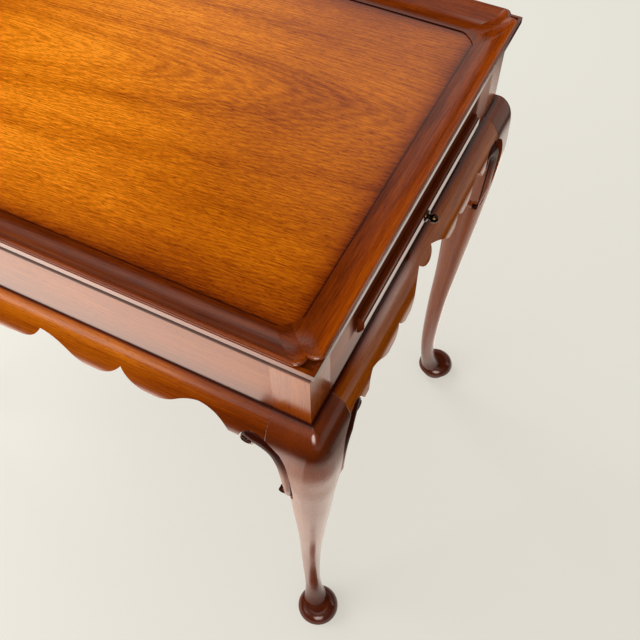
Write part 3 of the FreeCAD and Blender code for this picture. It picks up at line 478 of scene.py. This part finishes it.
# %% Skirts
# distance out from the frieze, and tone with the painted shade of the quirk
QUIRK_SHADE_TONES = ((0, 0.06), (1.2, 0.14), (2.6, 0.62), (4.5, 1.0))
END_QUIRK_SHADE_TONES = ((0, 0.05), (1.5, 0.12), (4, 0.50), (8, 1.0))
# painted light and shade: darker towards the legs as the light falls off, darker low on the skirt,
# lighter on its top
SKIRT_SHADE_TONES = {
    "aside": ((0, 1.0), (165, 1.0), (205, 0.80), (258, 0.52), (290, 0.38), (330, 0.32)),
    "z": ((530, 0.60), (545, 0.66), (553, 0.66), (561, 0.95), (567, 1.0))}


def outside_frieze(tree, at):
    """How far a place lies out from the frieze, at its ends and along its faces."""
    return (
        weighted_sum(tree, [(at["aside"], 1.0)], -HALF_LENGTH),
        weighted_sum(tree, [(at["across"], 1.0)], -HALF_DEPTH))


def quirk(tree, at):
    """Shade close to the frieze: none away from it, deep at its foot."""
    out_x, out_y = outside_frieze(tree, at)
    out = add_node(tree, "ShaderNodeMath", {0: out_x, 1: out_y}, operation="MAXIMUM").outputs[0]
    return profile(tree, out, QUIRK_SHADE_TONES)


def skirt_toning(tree, at):
    """Tone of the long skirts: painted shade to the legs, below and in the quirk, light in the middle.
    """
    return patch(tree, at, SKIRT_SHADE_TONES), quirk(tree, at)


def end_skirt_toning(tree, at):
    """Tone of the end skirts: painted shade in the quirk."""
    return (profile(tree, outside_frieze(tree, at)[0], END_QUIRK_SHADE_TONES),)


skirt_wood = {
    "X": wood("polished mahogany long skirt", "X", 0.66, 0.25, skirt_toning),
    "Y": wood("polished mahogany end skirt", "Y", 0.42, 0.30, end_skirt_toning)}
print("wood finishes:", len(bpy.data.materials))

# %% [markdown]
# ### Finish of the legs
# A leg is one piece from the post in the frieze down to the foot. The post is finished like the frieze
# beside it, with the same painted shade in the quirk and under the bead, the knee below the quirk is
# dark, with painted shade where its top lies in the quirk, the shank is lighter, and the foot is dark
# again, with its polish worn by shoes.

# %% Legs
# painted shade: the quirk line at the foot of the post, the shade fading up from it, and the line under
# the bead
LEG_TONES = (
    (0, 0.20), (40, 0.22), (75, 0.40), (110, 0.50), (200, 0.70), (480, 0.75), (525, 0.55),
    (545, 0.24), (556, 0.40), (566.5, 0.50), (567.5, 0.20), (570, 0.62), (590, 0.84), (620, 1.0),
    *BEAD_SHADE_TONES, (655, 0.1))
LEG_SHINE = (
    (0, 0.55), (32, 0.6), (45, 1.0), (566.5, 1.0), (567.2, 0.2), (568.5, 0.5), (570, 1.0),
    *BEAD_SHADE_SHINE)
# heights between which the top of the knee lies in the quirk and takes its painted shade
KNEE_QUIRK_SHADE = ((540, 0.0), (552, 1.0), (566.8, 1.0), (567.2, 0.0))


def leg_toning(tree, at):
    """Tone of the legs: the post like the frieze with its painted shade lines, a dark knee with painted
    shade in the quirk, a dark foot.
    """
    outside_quirk = weighted_sum(tree, [(profile(tree, at["z"], KNEE_QUIRK_SHADE), -1.0)], 1.0)
    shade = add_node(tree, "ShaderNodeMath", {
        0: outside_quirk, 1: quirk(tree, at)}, operation="MAXIMUM").outputs[0]
    return profile(tree, at["z"], LEG_TONES), shade


def leg_polish(tree, at):
    """Shine of the legs: worn on the feet, and dulled with the painted shade in the two lines of the
    post.
    """
    return profile(tree, at["z"], LEG_SHINE)


leg_wood = wood(
    "polished mahogany legs", "Z", 0.44, 0.18, leg_toning, leg_polish, coat_roughness=0.18)
print("wood finishes:", len(bpy.data.materials))

# %% [markdown]
# ## Brass, steel and the unpolished oak inside
# The knob is brass gone brown with handling, the screws are plain steel, and
# the runners and blocks that nobody sees are raw oak. Metal is rougher where
# tarnish has made it dull.

# %% Metals and raw wood
OAK_TONES = ((0.25, "#8E6438"), (0.50, "#B08250"), (0.75, "#C79A66"))
TARNISH_SWING = 0.3
TARNISH_DETAIL = 3.0


def metal(name, bright, dull, roughness, cloud_size):
    """Metal whose tarnish drifts in soft clouds of a given size."""
    material = bpy.data.materials.new(name)
    material.use_nodes = True
    tree = material.node_tree
    tree.nodes.clear()
    place = add_node(tree, "ShaderNodeTexCoord").outputs["Object"]
    cloud = add_node(tree, "ShaderNodeTexNoise", {
        "Vector": place, "Scale": 1 / cloud_size, "Detail": TARNISH_DETAIL})
    colour = add_node(tree, "ShaderNodeMix", {
        "Factor": cloud.outputs["Fac"], 6: linear(dull), 7: linear(bright)}, data_type="RGBA")
    rough = add_node(tree, "ShaderNodeMapRange", {
        "Value": cloud.outputs["Fac"], "To Min": roughness * (1 + TARNISH_SWING),
        "To Max": roughness * (1 - TARNISH_SWING)})
    shader = add_node(tree, "ShaderNodeBsdfPrincipled", {
        "Base Color": colour.outputs[2], "Metallic": 1.0, "Roughness": rough.outputs["Result"]})
    add_node(tree, "ShaderNodeOutputMaterial", {"Surface": shader.outputs["BSDF"]})
    return material


knob_brass = metal("tarnished brass", "#4E3C26", "#231A10", 0.24, 3 * MM)
screw_steel = metal("plain steel", "#9A9A9C", "#7C7C80", 0.35, 2 * MM)
raw_oak = wood("planed oak", "X", 0.5, 0.4, tones=OAK_TONES, coat=0.0)
print("finishes so far:", len(bpy.data.materials))

# %% [markdown]
# ## Give every node its finish
# The grain runs along each board: across the table on the ends, up the posts
# and legs. The name of a node says which piece it is, so a list of first words
# picks the finish, and what is left is the raw oak inside.

# %% Assign the finishes
FINISHES = {
    "tray_panel": top_wood, "tray_moulding": rim_wood, "frieze_rail": frieze_wood,
    "skirt": skirt_wood, "leg": leg_wood, "knee_return": leg_wood, "slide_knob": knob_brass,
    "slide_front": front_wood, "slide_board": slide_wood, "top_screws": screw_steel}


def finish_for(node):
    """The material of one node, by what the piece is."""
    grain = "Y" if node.endswith(("_left", "_right")) else "X"
    for first_words, finish in FINISHES.items():
        if node.startswith(first_words):
            return finish[grain] if isinstance(finish, dict) else finish
    return raw_oak


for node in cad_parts:
    piece = bpy.data.objects[node]
    if not piece.material_slots:
        piece.data.materials.append(finish_for(node))
    for slot in piece.material_slots:
        slot.material = finish_for(node)
print("finished nodes:", len(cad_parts))

# %% [markdown]
# The frieze mirrors the floor down to the quirk. The skirts are left out of
# what polish mirrors, because their bulge would show as a second dark skirt.

# %% Keep the skirts out of the reflections
SKIRTS = [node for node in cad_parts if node.startswith("skirt")]
for node in SKIRTS:
    bpy.data.objects[node].visible_glossy = False
print("not mirrored:", SKIRTS)

# %% [markdown]
# ## Carving of the C scrolls
# On each flank of a knee a C scroll is carved: a roll that starts in a volute
# on the return, sweeps down along the free edge of the knee, and ends above a
# small volute on the leg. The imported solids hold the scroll's flat face, and
# the carved relief lies on it. A carver rounds the face between two drawn
# lines, so the roll is made the same way: its two edges are drawn on the face,
# smoothed, and joined by a rounded section that sinks to a quirk at the lip.

# %% Where the scroll's face lies
# the face stands out from the frieze by this much at this height, and leans a little
SCROLL_REACH = 16.2 * MM
SCROLL_REACH_HEIGHT = 520 * MM
SCROLL_SLOPE = math.tan(math.radians(2.5))
# how deep the relief is bedded in the solid
BEDDING = 0.4 * MM


def scroll_point(knee, along, height, lift):
    """A point of a scroll's face: along from the corner, up, and out of the face."""
    (way_x, way_y), flank = knee
    reach = SCROLL_REACH + (height - SCROLL_REACH_HEIGHT) * SCROLL_SLOPE + lift
    if flank == "long":
        return Vector((way_x * (HALF_LENGTH - along), way_y * (HALF_DEPTH + reach), height))
    return Vector((way_x * (HALF_LENGTH + reach), way_y * (HALF_DEPTH - along), height))


def volute_point(knee, centre, radius, angle, lift):
    """A point of a scroll's face by its distance and direction from a volute's centre."""
    along = centre[0] + radius * math.cos(angle)
    return scroll_point(knee, along, centre[1] + radius * math.sin(angle), lift)


print("scroll faces stand out", round(SCROLL_REACH, 4), "m from the frieze")

# %% [markdown]
# ### Sections joined to a solid
# A row of closed rings, each with the same number of points, is joined to a
# closed skin with bmesh. The roll, the spirals and the eyes are all made so. A
# smooth curve through a few drawn points says where the rings of the roll go.


# %% Join rings
def add_rings(mesh, rings, quirk_strips=()):
    """Join closed rings of points to a solid, capped at both ends, and return its faces."""
    rows = [[mesh.verts.new(point) for point in ring] for ring in rings]
    count = len(rows[0])
    faces = []
    for row, following in zip(rows, rows[1:]):
        for k in range(count):
            after = (k + 1) % count
            face = mesh.faces.new((row[k], row[after], following[after], following[k]))
            face.material_index = 1 if k in quirk_strips else 0
            faces.append(face)
    return faces + [mesh.faces.new(rows[0]), mesh.faces.new(rows[-1])]


def smooth_between(points, steps):
    """Points on the smooth curve through some points, by Catmull and Rom's rule."""
    ends = [points[0]] + list(points) + [points[-1]]
    curve = []
    for index in range(len(points) - 1):
        before, start, stop, after = (Vector(p) for p in ends[index:index + 4])
        for step in range(steps):
            t = step / steps
            curve.append(0.5 * (
                2 * start + (stop - before) * t + (2 * before - 5 * start + 4 * stop - after) * t ** 2
                + (3 * start - before - 3 * stop + after) * t ** 3))
    return curve + [Vector(points[-1])]


print("points of a straight line in three steps:", len(smooth_between([(0, 0), (3, 0)], 3)))

# %% [markdown]
# ### The roll
# The roll is fullest in its middle and starts and ends low. Across, it rises from the free edge, rounds
# over, and falls to a narrow flat at the lip. The flat, and the foot of the roll at its free edge, take
# the painted shade of the quirk.

# %% Roll of a scroll
ROLL_EDGES_MM = (
    # lip side of the roll, then its free edge: along from the corner, and height
    ((57.6, 532.0), (59.8, 526.5)), ((54.5, 539.0), (54.0, 527.5)), ((48.5, 542.3), (48.0, 524.0)),
    ((41.0, 542.3), (43.2, 521.2)), ((34.0, 540.5), (38.5, 517.6)), ((27.5, 534.5), (34.6, 513.5)),
    ((21.5, 528.0), (31.6, 506.0)), ((17.2, 519.0), (29.8, 498.0)), ((14.4, 508.0), (28.2, 488.0)),
    ((13.2, 494.0), (27.3, 476.0)), ((12.9, 476.0), (26.4, 460.0)), ((13.1, 458.0), (25.9, 446.0)),
    ((13.8, 442.0), (25.6, 434.0)), ((16.6, 424.0), (25.2, 422.5)),
)
# share of the way from the free edge to the lip, and height above the face
ROLL_SECTION_MM = (
    (0.01, 0.0), (0.03, 0.9), (0.10, 2.0), (0.22, 3.0), (0.36, 3.5), (0.50, 3.5), (0.62, 3.0),
    (0.73, 2.0), (0.82, 0.9), (0.90, 0.3), (0.98, 0.2),
)
# the strips of the section, counted from the free edge, that lie in the quirk and take its painted
# shade
ROLL_SHADE_STRIPS = (0, 7, 8, 9)
ROLL_STEPS = 4
# height of the roll at its ends, as a share, and how fast it rises from each of them
ROLL_END_RELIEF = 0.35
ROLL_RISES = (4, 8)
# the rolls on the end flanks are carved bolder
RELIEF = {"long": 1.0, "end": 1.9}


def add_roll(mesh, knee):
    """The rounded roll of one scroll."""
    lips = smooth_between([lip for lip, edge in ROLL_EDGES_MM], ROLL_STEPS)
    edges = smooth_between([edge for lip, edge in ROLL_EDGES_MM], ROLL_STEPS)
    rings = []
    for index, (lip, edge) in enumerate(zip(lips, edges)):
        share = index / (len(lips) - 1)
        fullness = min(
            RELIEF[knee[1]], ROLL_END_RELIEF + ROLL_RISES[0] * share,
            ROLL_END_RELIEF + ROLL_RISES[1] * (1 - share))
        section = [(across, lift * fullness * MM) for across, lift in ROLL_SECTION_MM]
        section += [(section[-1][0], -BEDDING), (section[0][0], -BEDDING)]
        ring = []
        for across, lift in section:
            along, height = edge.lerp(lip, across) * MM
            ring.append(scroll_point(knee, along, height, lift))
        rings.append(ring)
    add_rings(mesh, rings, ROLL_SHADE_STRIPS)


print("roll drawn with", len(ROLL_EDGES_MM), "pairs of points")

# %% [markdown]
# ### The volutes
# The upper volute is a ridge that winds in to a round eye and grows thinner on
# the way. The small one at the foot of the scroll is turned like a button.

# %% Volutes of a scroll
VOLUTE = (54.0 * MM, 521.5 * MM)
VOLUTE_RISE = 1.2 * MM
VOLUTE_RADIUS = 5.5 * MM
VOLUTE_TURNS = 1.5
HALF_RIDGE = 1.15 * MM
EYE_RADIUS = 1.5 * MM
FOOT_VOLUTE = (27.6 * MM, 426.5 * MM)
# radius, and height above the face, of the small volute turned like a button
BUTTON_MM = (
    (3.6, -5.0), (3.7, 0.1), (3.4, 0.9), (2.8, 1.2), (2.2, 0.6), (1.8, 0.7), (1.3, 1.3), (0.5, 1.6))
STEPS_PER_TURN = 28
RIDGE_POINTS = 7
# how far in the ridge winds, how much thinner it gets, and its height over its half width
WINDING_IN = 0.72
THINNING = 0.35
RIDGE_HEIGHT = 1.1
ROUND_POINTS = 16
EYE_RINGS = 7
EYE_HEIGHT = 0.9


def add_spiral(mesh, knee):
    """A ridge that winds in from the top of the upper volute to its eye."""
    rings = []
    steps = round(STEPS_PER_TURN * VOLUTE_TURNS)
    bows = [math.pi * k / (RIDGE_POINTS - 1) for k in range(RIDGE_POINTS)]
    for step in range(steps + 1):
        share = step / steps
        angle = math.pi / 2 - 2 * math.pi * VOLUTE_TURNS * share
        reach = VOLUTE_RADIUS * (1 - WINDING_IN * share)
        width = HALF_RIDGE * (1 - THINNING * share)
        section = [
            (reach + width * math.cos(bow), VOLUTE_RISE + width * RIDGE_HEIGHT * math.sin(bow))
            for bow in bows]
        section += [(reach - width, -BEDDING), (reach + width, -BEDDING)]
        rings.append([volute_point(knee, VOLUTE, out, angle, lift) for out, lift in section])
    add_rings(mesh, rings)


def add_rounds(mesh, knee, centre, outline):
    """A round boss on the face, from the radius and lift of each of its rings."""
    turns = [2 * math.pi * k / ROUND_POINTS for k in range(ROUND_POINTS)]
    return add_rings(mesh, [
        [volute_point(knee, centre, radius, turn, lift) for turn in turns] for radius, lift in outline])


def add_eye(mesh, knee):
    """The round eye in the middle of the upper volute."""
    # the last ring stays short of the top, so that it can be capped
    bows = [math.pi / 2 * k / (EYE_RINGS - 0.5) for k in range(EYE_RINGS)]
    dome = [
        (EYE_RADIUS * math.cos(bow), VOLUTE_RISE + EYE_RADIUS * EYE_HEIGHT * math.sin(bow))
        for bow in bows]
    add_rounds(mesh, knee, VOLUTE, [(EYE_RADIUS, -BEDDING)] + dome)


def add_button(mesh, knee):
    """The small volute at the foot of a scroll, all in the painted shade of the quirk."""
    outline = [(radius * MM, lift * MM) for radius, lift in BUTTON_MM]
    for face in add_rounds(mesh, knee, FOOT_VOLUTE, outline):
        face.material_index = 1


print("volute of", round(2 * VOLUTE_RADIUS / MM, 1), "mm with", VOLUTE_TURNS, "turns")

# %% [markdown]
# ### Finish of the carving
# The upper half of the scroll is painted nearly black and dull, as painted shade of the hollowed
# carving, and its lower end is lighter.

# %% Scroll finishes
SCROLL_TONES = ((415, 0.5), (432, 0.9), (470, 0.9), (495, 0.42), (510, 0.16), (545, 0.14))
SCROLL_SHINE = ((415, 0.6), (432, 0.85), (470, 0.80), (500, 0.26), (545, 0.20))


def scroll_toning(tree, at):
    """Tone of the scroll: painted shade above, lighter on the lower half of the roll."""
    return (profile(tree, at["z"], SCROLL_TONES),)


def scroll_polish(tree, at):
    """Shine of the scroll: dulled with the painted shade above."""
    return profile(tree, at["z"], SCROLL_SHINE)


# painted shade: the upper half of the scroll is painted dark and dull
scroll_wood = wood("mahogany carving with painted shade", "Z", 0.30, 0.15, scroll_toning, scroll_polish, 0.14)
# painted shade: the quirk of the roll and the small volute are painted nearly black and dull
quirk_shade_wood = wood("mahogany quirk with painted shade", "Z", 0.035, 0.3, coat=0.15, coat_roughness=0.3)
print("finishes of the carving:", scroll_wood.name, "and", quirk_shade_wood.name)

# %% [markdown]
# ### Carve the scrolls
# Each knee has two flanks, so the four legs carry eight scrolls. They mirror
# each other, and all of them ride on the table.

# %% Carve the eight scrolls
CORNERS = {"front_right": (1, -1), "front_left": (-1, -1), "back_right": (1, 1), "back_left": (-1, 1)}


def finished_piece(mesh, name, finishes, smooth):
    """Turn a bmesh into an object in the scene, with its finishes."""
    bmesh.ops.recalc_face_normals(mesh, faces=mesh.faces)
    data = bpy.data.meshes.new(name)
    mesh.to_mesh(data)
    mesh.free()
    for face in data.polygons:
        face.use_smooth = smooth
    for finish in finishes:
        data.materials.append(finish)
    piece = bpy.data.objects.new(name, data)
    bpy.context.scene.collection.objects.link(piece)
    return piece


for corner_name, corner in CORNERS.items():
    for flank in RELIEF:
        knee = (corner, flank)
        mesh = bmesh.new()
        add_roll(mesh, knee)
        add_spiral(mesh, knee)
        add_eye(mesh, knee)
        add_button(mesh, knee)
        name = "scroll_carving_" + corner_name + "_" + flank
        carving = finished_piece(mesh, name, (scroll_wood, quirk_shade_wood), smooth=True)
        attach(carving, "table")
print("scrolls carved:", len(CORNERS) * len(RELIEF))

# %% [markdown]
# ## The fillet around the tray
# Under the crest of the moulding runs a narrow flat band, the fillet. It fills
# the hollow between the bead and the crest and lies flush with the crest, so it
# catches the light as one bright line. It is one ring: a small section carried
# round the four corners.

# %% Fillet
# reach in front of the frieze, and height
FILLET_SECTION_MM = (
    (5.2, 654.6), (8.0, 654.6), (8.4, 655.2), (8.4, 661.2), (8.1, 661.8), (5.2, 661.8))
mesh = bmesh.new()
mitres = []
for way_x, way_y in ((1, -1), (1, 1), (-1, 1), (-1, -1)):
    mitres.append([mesh.verts.new((
        way_x * (HALF_LENGTH + reach * MM), way_y * (HALF_DEPTH + reach * MM), height * MM))
        for reach, height in FILLET_SECTION_MM])
for here, following in zip(mitres, mitres[1:] + mitres[:1]):
    for k in range(len(here)):
        after = (k + 1) % len(here)
        mesh.faces.new((here[k], following[k], following[after], here[after]))
fillet = finished_piece(mesh, "tray_fillet", (fillet_wood,), smooth=False)
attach(fillet, "table")
print("fillet round", round(4 * (HALF_LENGTH + HALF_DEPTH), 3), "m")

# %% [markdown]
# ## Room and light
# A pale floor carries the table, and the light comes softly from two windows at
# the left. Polish, though, shows what lies in the direction that it mirrors, so
# floor and room have a second face for mirrored rays alone, with bright and dim
# patches that put the sheen where the real room does.

# %% Floor
FLOOR_REACH = 60.0
FLOOR_OUTLINE = ((-1, -1), (1, -1), (1, 1), (-1, 1))
floor_mesh = bpy.data.meshes.new("floor")
floor_corners = [(way_x * FLOOR_REACH, way_y * FLOOR_REACH, 0) for way_x, way_y in FLOOR_OUTLINE]
floor_mesh.from_pydata(floor_corners, [], [(0, 1, 2, 3)])
floor = bpy.data.objects.new("floor", floor_mesh)
bpy.context.scene.collection.objects.link(floor)
floor_paint = bpy.data.materials.new("pale matt floor")
floor_paint.use_nodes = True
floor_mesh.materials.append(floor_paint)
print("floor reaches", FLOOR_REACH, "m to each side")

# %% [markdown]
# ### The floor as the polish shows it
# The glow of the floor is largest close around the table and fades into the
# room. One patch in front is brighter, and weakens to the right. Beside the
# back of the right end the glow is dimmed to half, and bands of light across it
# put the sheen on the end frieze. The end pieces also mirror a last patch, far
# off at the back right.

# %% Glow of the floor
# places in millimetres from the middle of the table, or away from the frieze
FADING = (
    (0, 0.80), (30, 1.0), (120, 1.0), (360, 1.0), (550, 0.55), (900, 0.25), (1300, 0.12), (2000, 0.0))
AROUND = ((0, 1.0), (120, 1.0), (220, 0.60), (340, 0.42), (600, 0.40))
FRONT_TO_BACK = ((-1050, 0.05), (-850, 0.25), (-650, 1.0), (150, 1.0), (450, 0.2))
FRONT_PATCH = {
    "away": ((0, 0.0), (50, 0.0), (120, 0.2), (220, 0.7), (320, 1.0)),
    "x": ((-300, 1.0), (-100, 0.88), (100, 0.74), (170, 0.54), (230, 0.12), (280, 0.0)),
    "y": ((-350, 1.0), (-200, 0.0))}
DIM_PATCH = {"x": ((370, 0.0), (420, 1.0)), "y": ((-120, 0.0), (50, 1.0))}
END_BANDS = {
    "x": (
        (300, 0.0), (340, 1.2), (420, 1.2), (465, 0.4), (475, 0.3), (505, 0.85), (630, 0.7),
        (780, 1.0), (1000, 0.0)),
    "y": ((50, 0.0), (120, 0.30), (180, 0.45), (300, 0.9), (850, 1.0), (1100, 0.0))}
FAR_PATCH = {"x": ((900, 0.0), (1400, 1.0)), "y": ((900, 0.0), (1400, 1.0))}
FRONT_STRENGTH = 3.3
AROUND_STRENGTH = 1.25
DIMMING = 0.5
END_STRENGTH = 1.6
FAR_STRENGTH = 0.6


def floor_glow(tree, at):
    """Strength of the glow that polish shows, by the place on the floor."""
    outside = [
        add_node(tree, "ShaderNodeMath", {0: out, 1: 0.0}, operation="MAXIMUM").outputs[0]
        for out in outside_frieze(tree, at)]
    away = add_node(tree, "ShaderNodeCombineXYZ", {"X": outside[0], "Y": outside[1]}).outputs[0]
    at["away"] = add_node(tree, "ShaderNodeVectorMath", {0: away}, operation="LENGTH").outputs["Value"]
    around = profile(tree, at["away"], AROUND)
    fading = profile(tree, at["away"], FADING)
    in_depth = profile(tree, at["y"], FRONT_TO_BACK)
    dimmed = weighted_sum(tree, [(patch(tree, at, DIM_PATCH), -DIMMING)], 1.0)
    close = weighted_sum(tree, [
        (patch(tree, at, FRONT_PATCH), FRONT_STRENGTH), (around, AROUND_STRENGTH)])
    return weighted_sum(tree, [
        (patch(tree, at, END_BANDS), END_STRENGTH), (patch(tree, at, FAR_PATCH), FAR_STRENGTH),
        (product(tree, close, fading, dimmed, in_depth), 1.0)])


tree = floor_paint.node_tree
tree.nodes.clear()
glow = floor_glow(tree, coordinates(tree, add_node(tree, "ShaderNodeTexCoord").outputs["Object"]))
print("nodes in the glow of the floor:", len(tree.nodes))

# %% [markdown]
# ### The floor's paint
# Light falls on matt off-white paint. To the camera half of the paint glows by
# itself, so that the floor is nearly white and still keeps a soft shadow.

# %% Paint of the floor
OWN_GLOW = 0.5
path = add_node(tree, "ShaderNodeLightPath").outputs
matt = add_node(tree, "ShaderNodeBsdfDiffuse", {"Color": linear("#E9E8DF")}).outputs[0]
lit = add_node(tree, "ShaderNodeEmission", {"Color": linear("#FBF8EE"), "Strength": 1.0}).outputs[0]
plain = add_node(tree, "ShaderNodeMixShader", {0: OWN_GLOW, 1: matt, 2: lit}).outputs[0]
seen = add_node(tree, "ShaderNodeMixShader", {0: path["Is Camera Ray"], 1: matt, 2: plain}).outputs[0]
mirrored = add_node(tree, "ShaderNodeEmission", {
    "Color": linear("#FFF4E6"), "Strength": glow}).outputs[0]
floor_mix = add_node(tree, "ShaderNodeMixShader", {0: path["Is Glossy Ray"], 1: seen, 2: mirrored})
add_node(tree, "ShaderNodeOutputMaterial", {"Surface": floor_mix.outputs["Shader"]})
print("floor paint:", floor_paint.name)

# %% [markdown]
# ### The room by direction
# The world only knows directions, given by their parts to the right (X), to the
# back (Y) and up (Z), or by how close they come to the direction of a lamp,
# which is 1 when they point straight at it. A pale wall stands behind. One lamp
# high in front and another straight overhead show as small glints on round
# corners. A pane at the front left and one at the right put a soft sheen on the
# moulding and on the crest of the end skirt. The ceiling towards the front is
# dimly lit, and so is a low band at the right.

# %% Directions and soft steps
WAYS = {
    "to_lamp": Vector((0.37, -0.71, 0.60)), "to_pane": Vector((-0.55, -0.60, 0.58)),
    "to_window": Vector((-0.62, -0.62, 0.48))}
SOFT_STEPS = {
    # what the step goes by, where it starts and stops, and the levels before and after
    "wall": ("Y", 0.52, 0.82, 0.0, 0.9), "above_skirting": ("Z", 0.10, 0.50, 0.2, 1.0),
    "lamp": ("to_lamp", 0.93, 0.99, 0.0, 12.0), "daylight": ("to_window", -0.3, 0.9, 0.2, 0.9)}
world = bpy.data.worlds.new("studio")
bpy.context.scene.world = world
world.use_nodes = True
tree = world.node_tree
tree.nodes.clear()
direction = add_node(tree, "ShaderNodeTexCoord").outputs["Generated"]
compass = add_node(tree, "ShaderNodeSeparateXYZ", {"Vector": direction}).outputs
towards = {axis: compass[axis] for axis in "XYZ"}
for name, way in WAYS.items():
    towards[name] = add_node(tree, "ShaderNodeVectorMath", {
        0: direction, 1: way.normalized()}, operation="DOT_PRODUCT").outputs["Value"]
step = {}
for name, (by, start, stop, low, high) in SOFT_STEPS.items():
    step[name] = add_node(tree, "ShaderNodeMapRange", {
        "Value": towards[by], "From Min": start, "From Max": stop, "To Min": low, "To Max": high},
        interpolation_type="SMOOTHSTEP").outputs[0]
print("directions:", list(towards), "soft steps:", list(step))

# %% [markdown]
# What the polish mirrors of the room is a sum of patches. Each one is bounded
# by curves along parts of the direction, and has its own strength.

# %% Room in the polish
OVERHEAD = {
    "Z": ((0.30, 0.04), (0.55, 0.35), (0.75, 0.5), (1.0, 0.6)), "Y": ((-0.1, 1.0), (0.25, 0.0))}
LEFT_PANE = {"to_pane": ((0.93, 0.0), (0.97, 0.35), (1.0, 1.0))}
RIGHT_PANE = {
    "Y": ((0.47, 0.0), (0.54, 1.0), (0.585, 1.0), (0.605, 0.2), (0.66, 0.0)),
    "X": ((0.18, 0.0), (0.55, 1.0)), "Z": ((0.1, 0.0), (0.4, 1.0))}
LOW_RIGHT = {"X": ((0.45, 0.0), (0.65, 1.0)), "Z": ((-0.2, 1.0), (0.15, 1.0), (0.35, 0.0))}
CEILING_LAMP = {"Z": ((0.970, 0.0), (0.988, 1.0))}
WALL_STRENGTH = 0.9
ROOM_PATCHES = (
    (OVERHEAD, 1.0), (LEFT_PANE, 2.2), (RIGHT_PANE, 2.8), (LOW_RIGHT, 0.5), (CEILING_LAMP, 2.2))
# the parts of a direction are plain numbers, not millimetres
NO_UNIT = 1.0
seen_in_polish = weighted_sum(tree, [
    (product(tree, step["wall"], step["above_skirting"]), WALL_STRENGTH), (step["lamp"], 1.0),
    *[(patch(tree, towards, curves, NO_UNIT), strength) for curves, strength in ROOM_PATCHES]])
print("patches in the mirrored room:", len(ROOM_PATCHES) + 2)

# %% [markdown]
# The light that falls on the wood is softer: it comes from the side of the
# windows and fades to the other side. The camera sees a plain pale backdrop.

# %% Room light
path = add_node(tree, "ShaderNodeLightPath").outputs
polish = add_node(tree, "ShaderNodeBackground", {
    "Color": linear("#FFFAF2"), "Strength": seen_in_polish}).outputs[0]
soft = add_node(tree, "ShaderNodeBackground", {
    "Color": linear("#FFFBF4"), "Strength": step["daylight"]}).outputs[0]
backdrop = add_node(tree, "ShaderNodeBackground", {
    "Color": linear("#E5E6DF"), "Strength": 1.0}).outputs[0]
indoors = add_node(tree, "ShaderNodeMixShader", {
    0: path["Is Glossy Ray"], 1: soft, 2: polish}).outputs[0]
choice = add_node(tree, "ShaderNodeMixShader", {0: path["Is Camera Ray"], 1: indoors, 2: backdrop})
add_node(tree, "ShaderNodeOutputWorld", {"Surface": choice.outputs["Shader"]})
print("nodes in the room:", len(tree.nodes))

# %% [markdown]
# ### Windows
# Two broad lamps stand for the windows. They light the wood and cast the soft
# shadow, and are left out of what the polish mirrors, where the panes are
# already drawn. The plain view transform keeps a colour about as it is written.

# %% Windows
WINDOW_WIDTH = 1.2
WINDOW_WATTS = 14
# the place of each window, and the point that it faces
WINDOWS = {
    "window": ((-1.2, -1.1, 1.5), (-0.1, -0.1, 0.6)),
    "second window": ((-1.2, 0.5, 1.7), (-0.1, 0, 0.6))}
for name, (place, target) in WINDOWS.items():
    lamp_data = bpy.data.lights.new(name, "AREA")
    lamp_data.size = WINDOW_WIDTH
    lamp_data.energy = WINDOW_WATTS
    lamp = bpy.data.objects.new(name, lamp_data)
    lamp.location = place
    lamp.rotation_euler = (Vector(target) - Vector(place)).to_track_quat("-Z", "Y").to_euler()
    lamp.visible_glossy = False
    bpy.context.scene.collection.objects.link(lamp)
bpy.context.scene.view_settings.view_transform = "Standard"
print("windows:", len(WINDOWS))
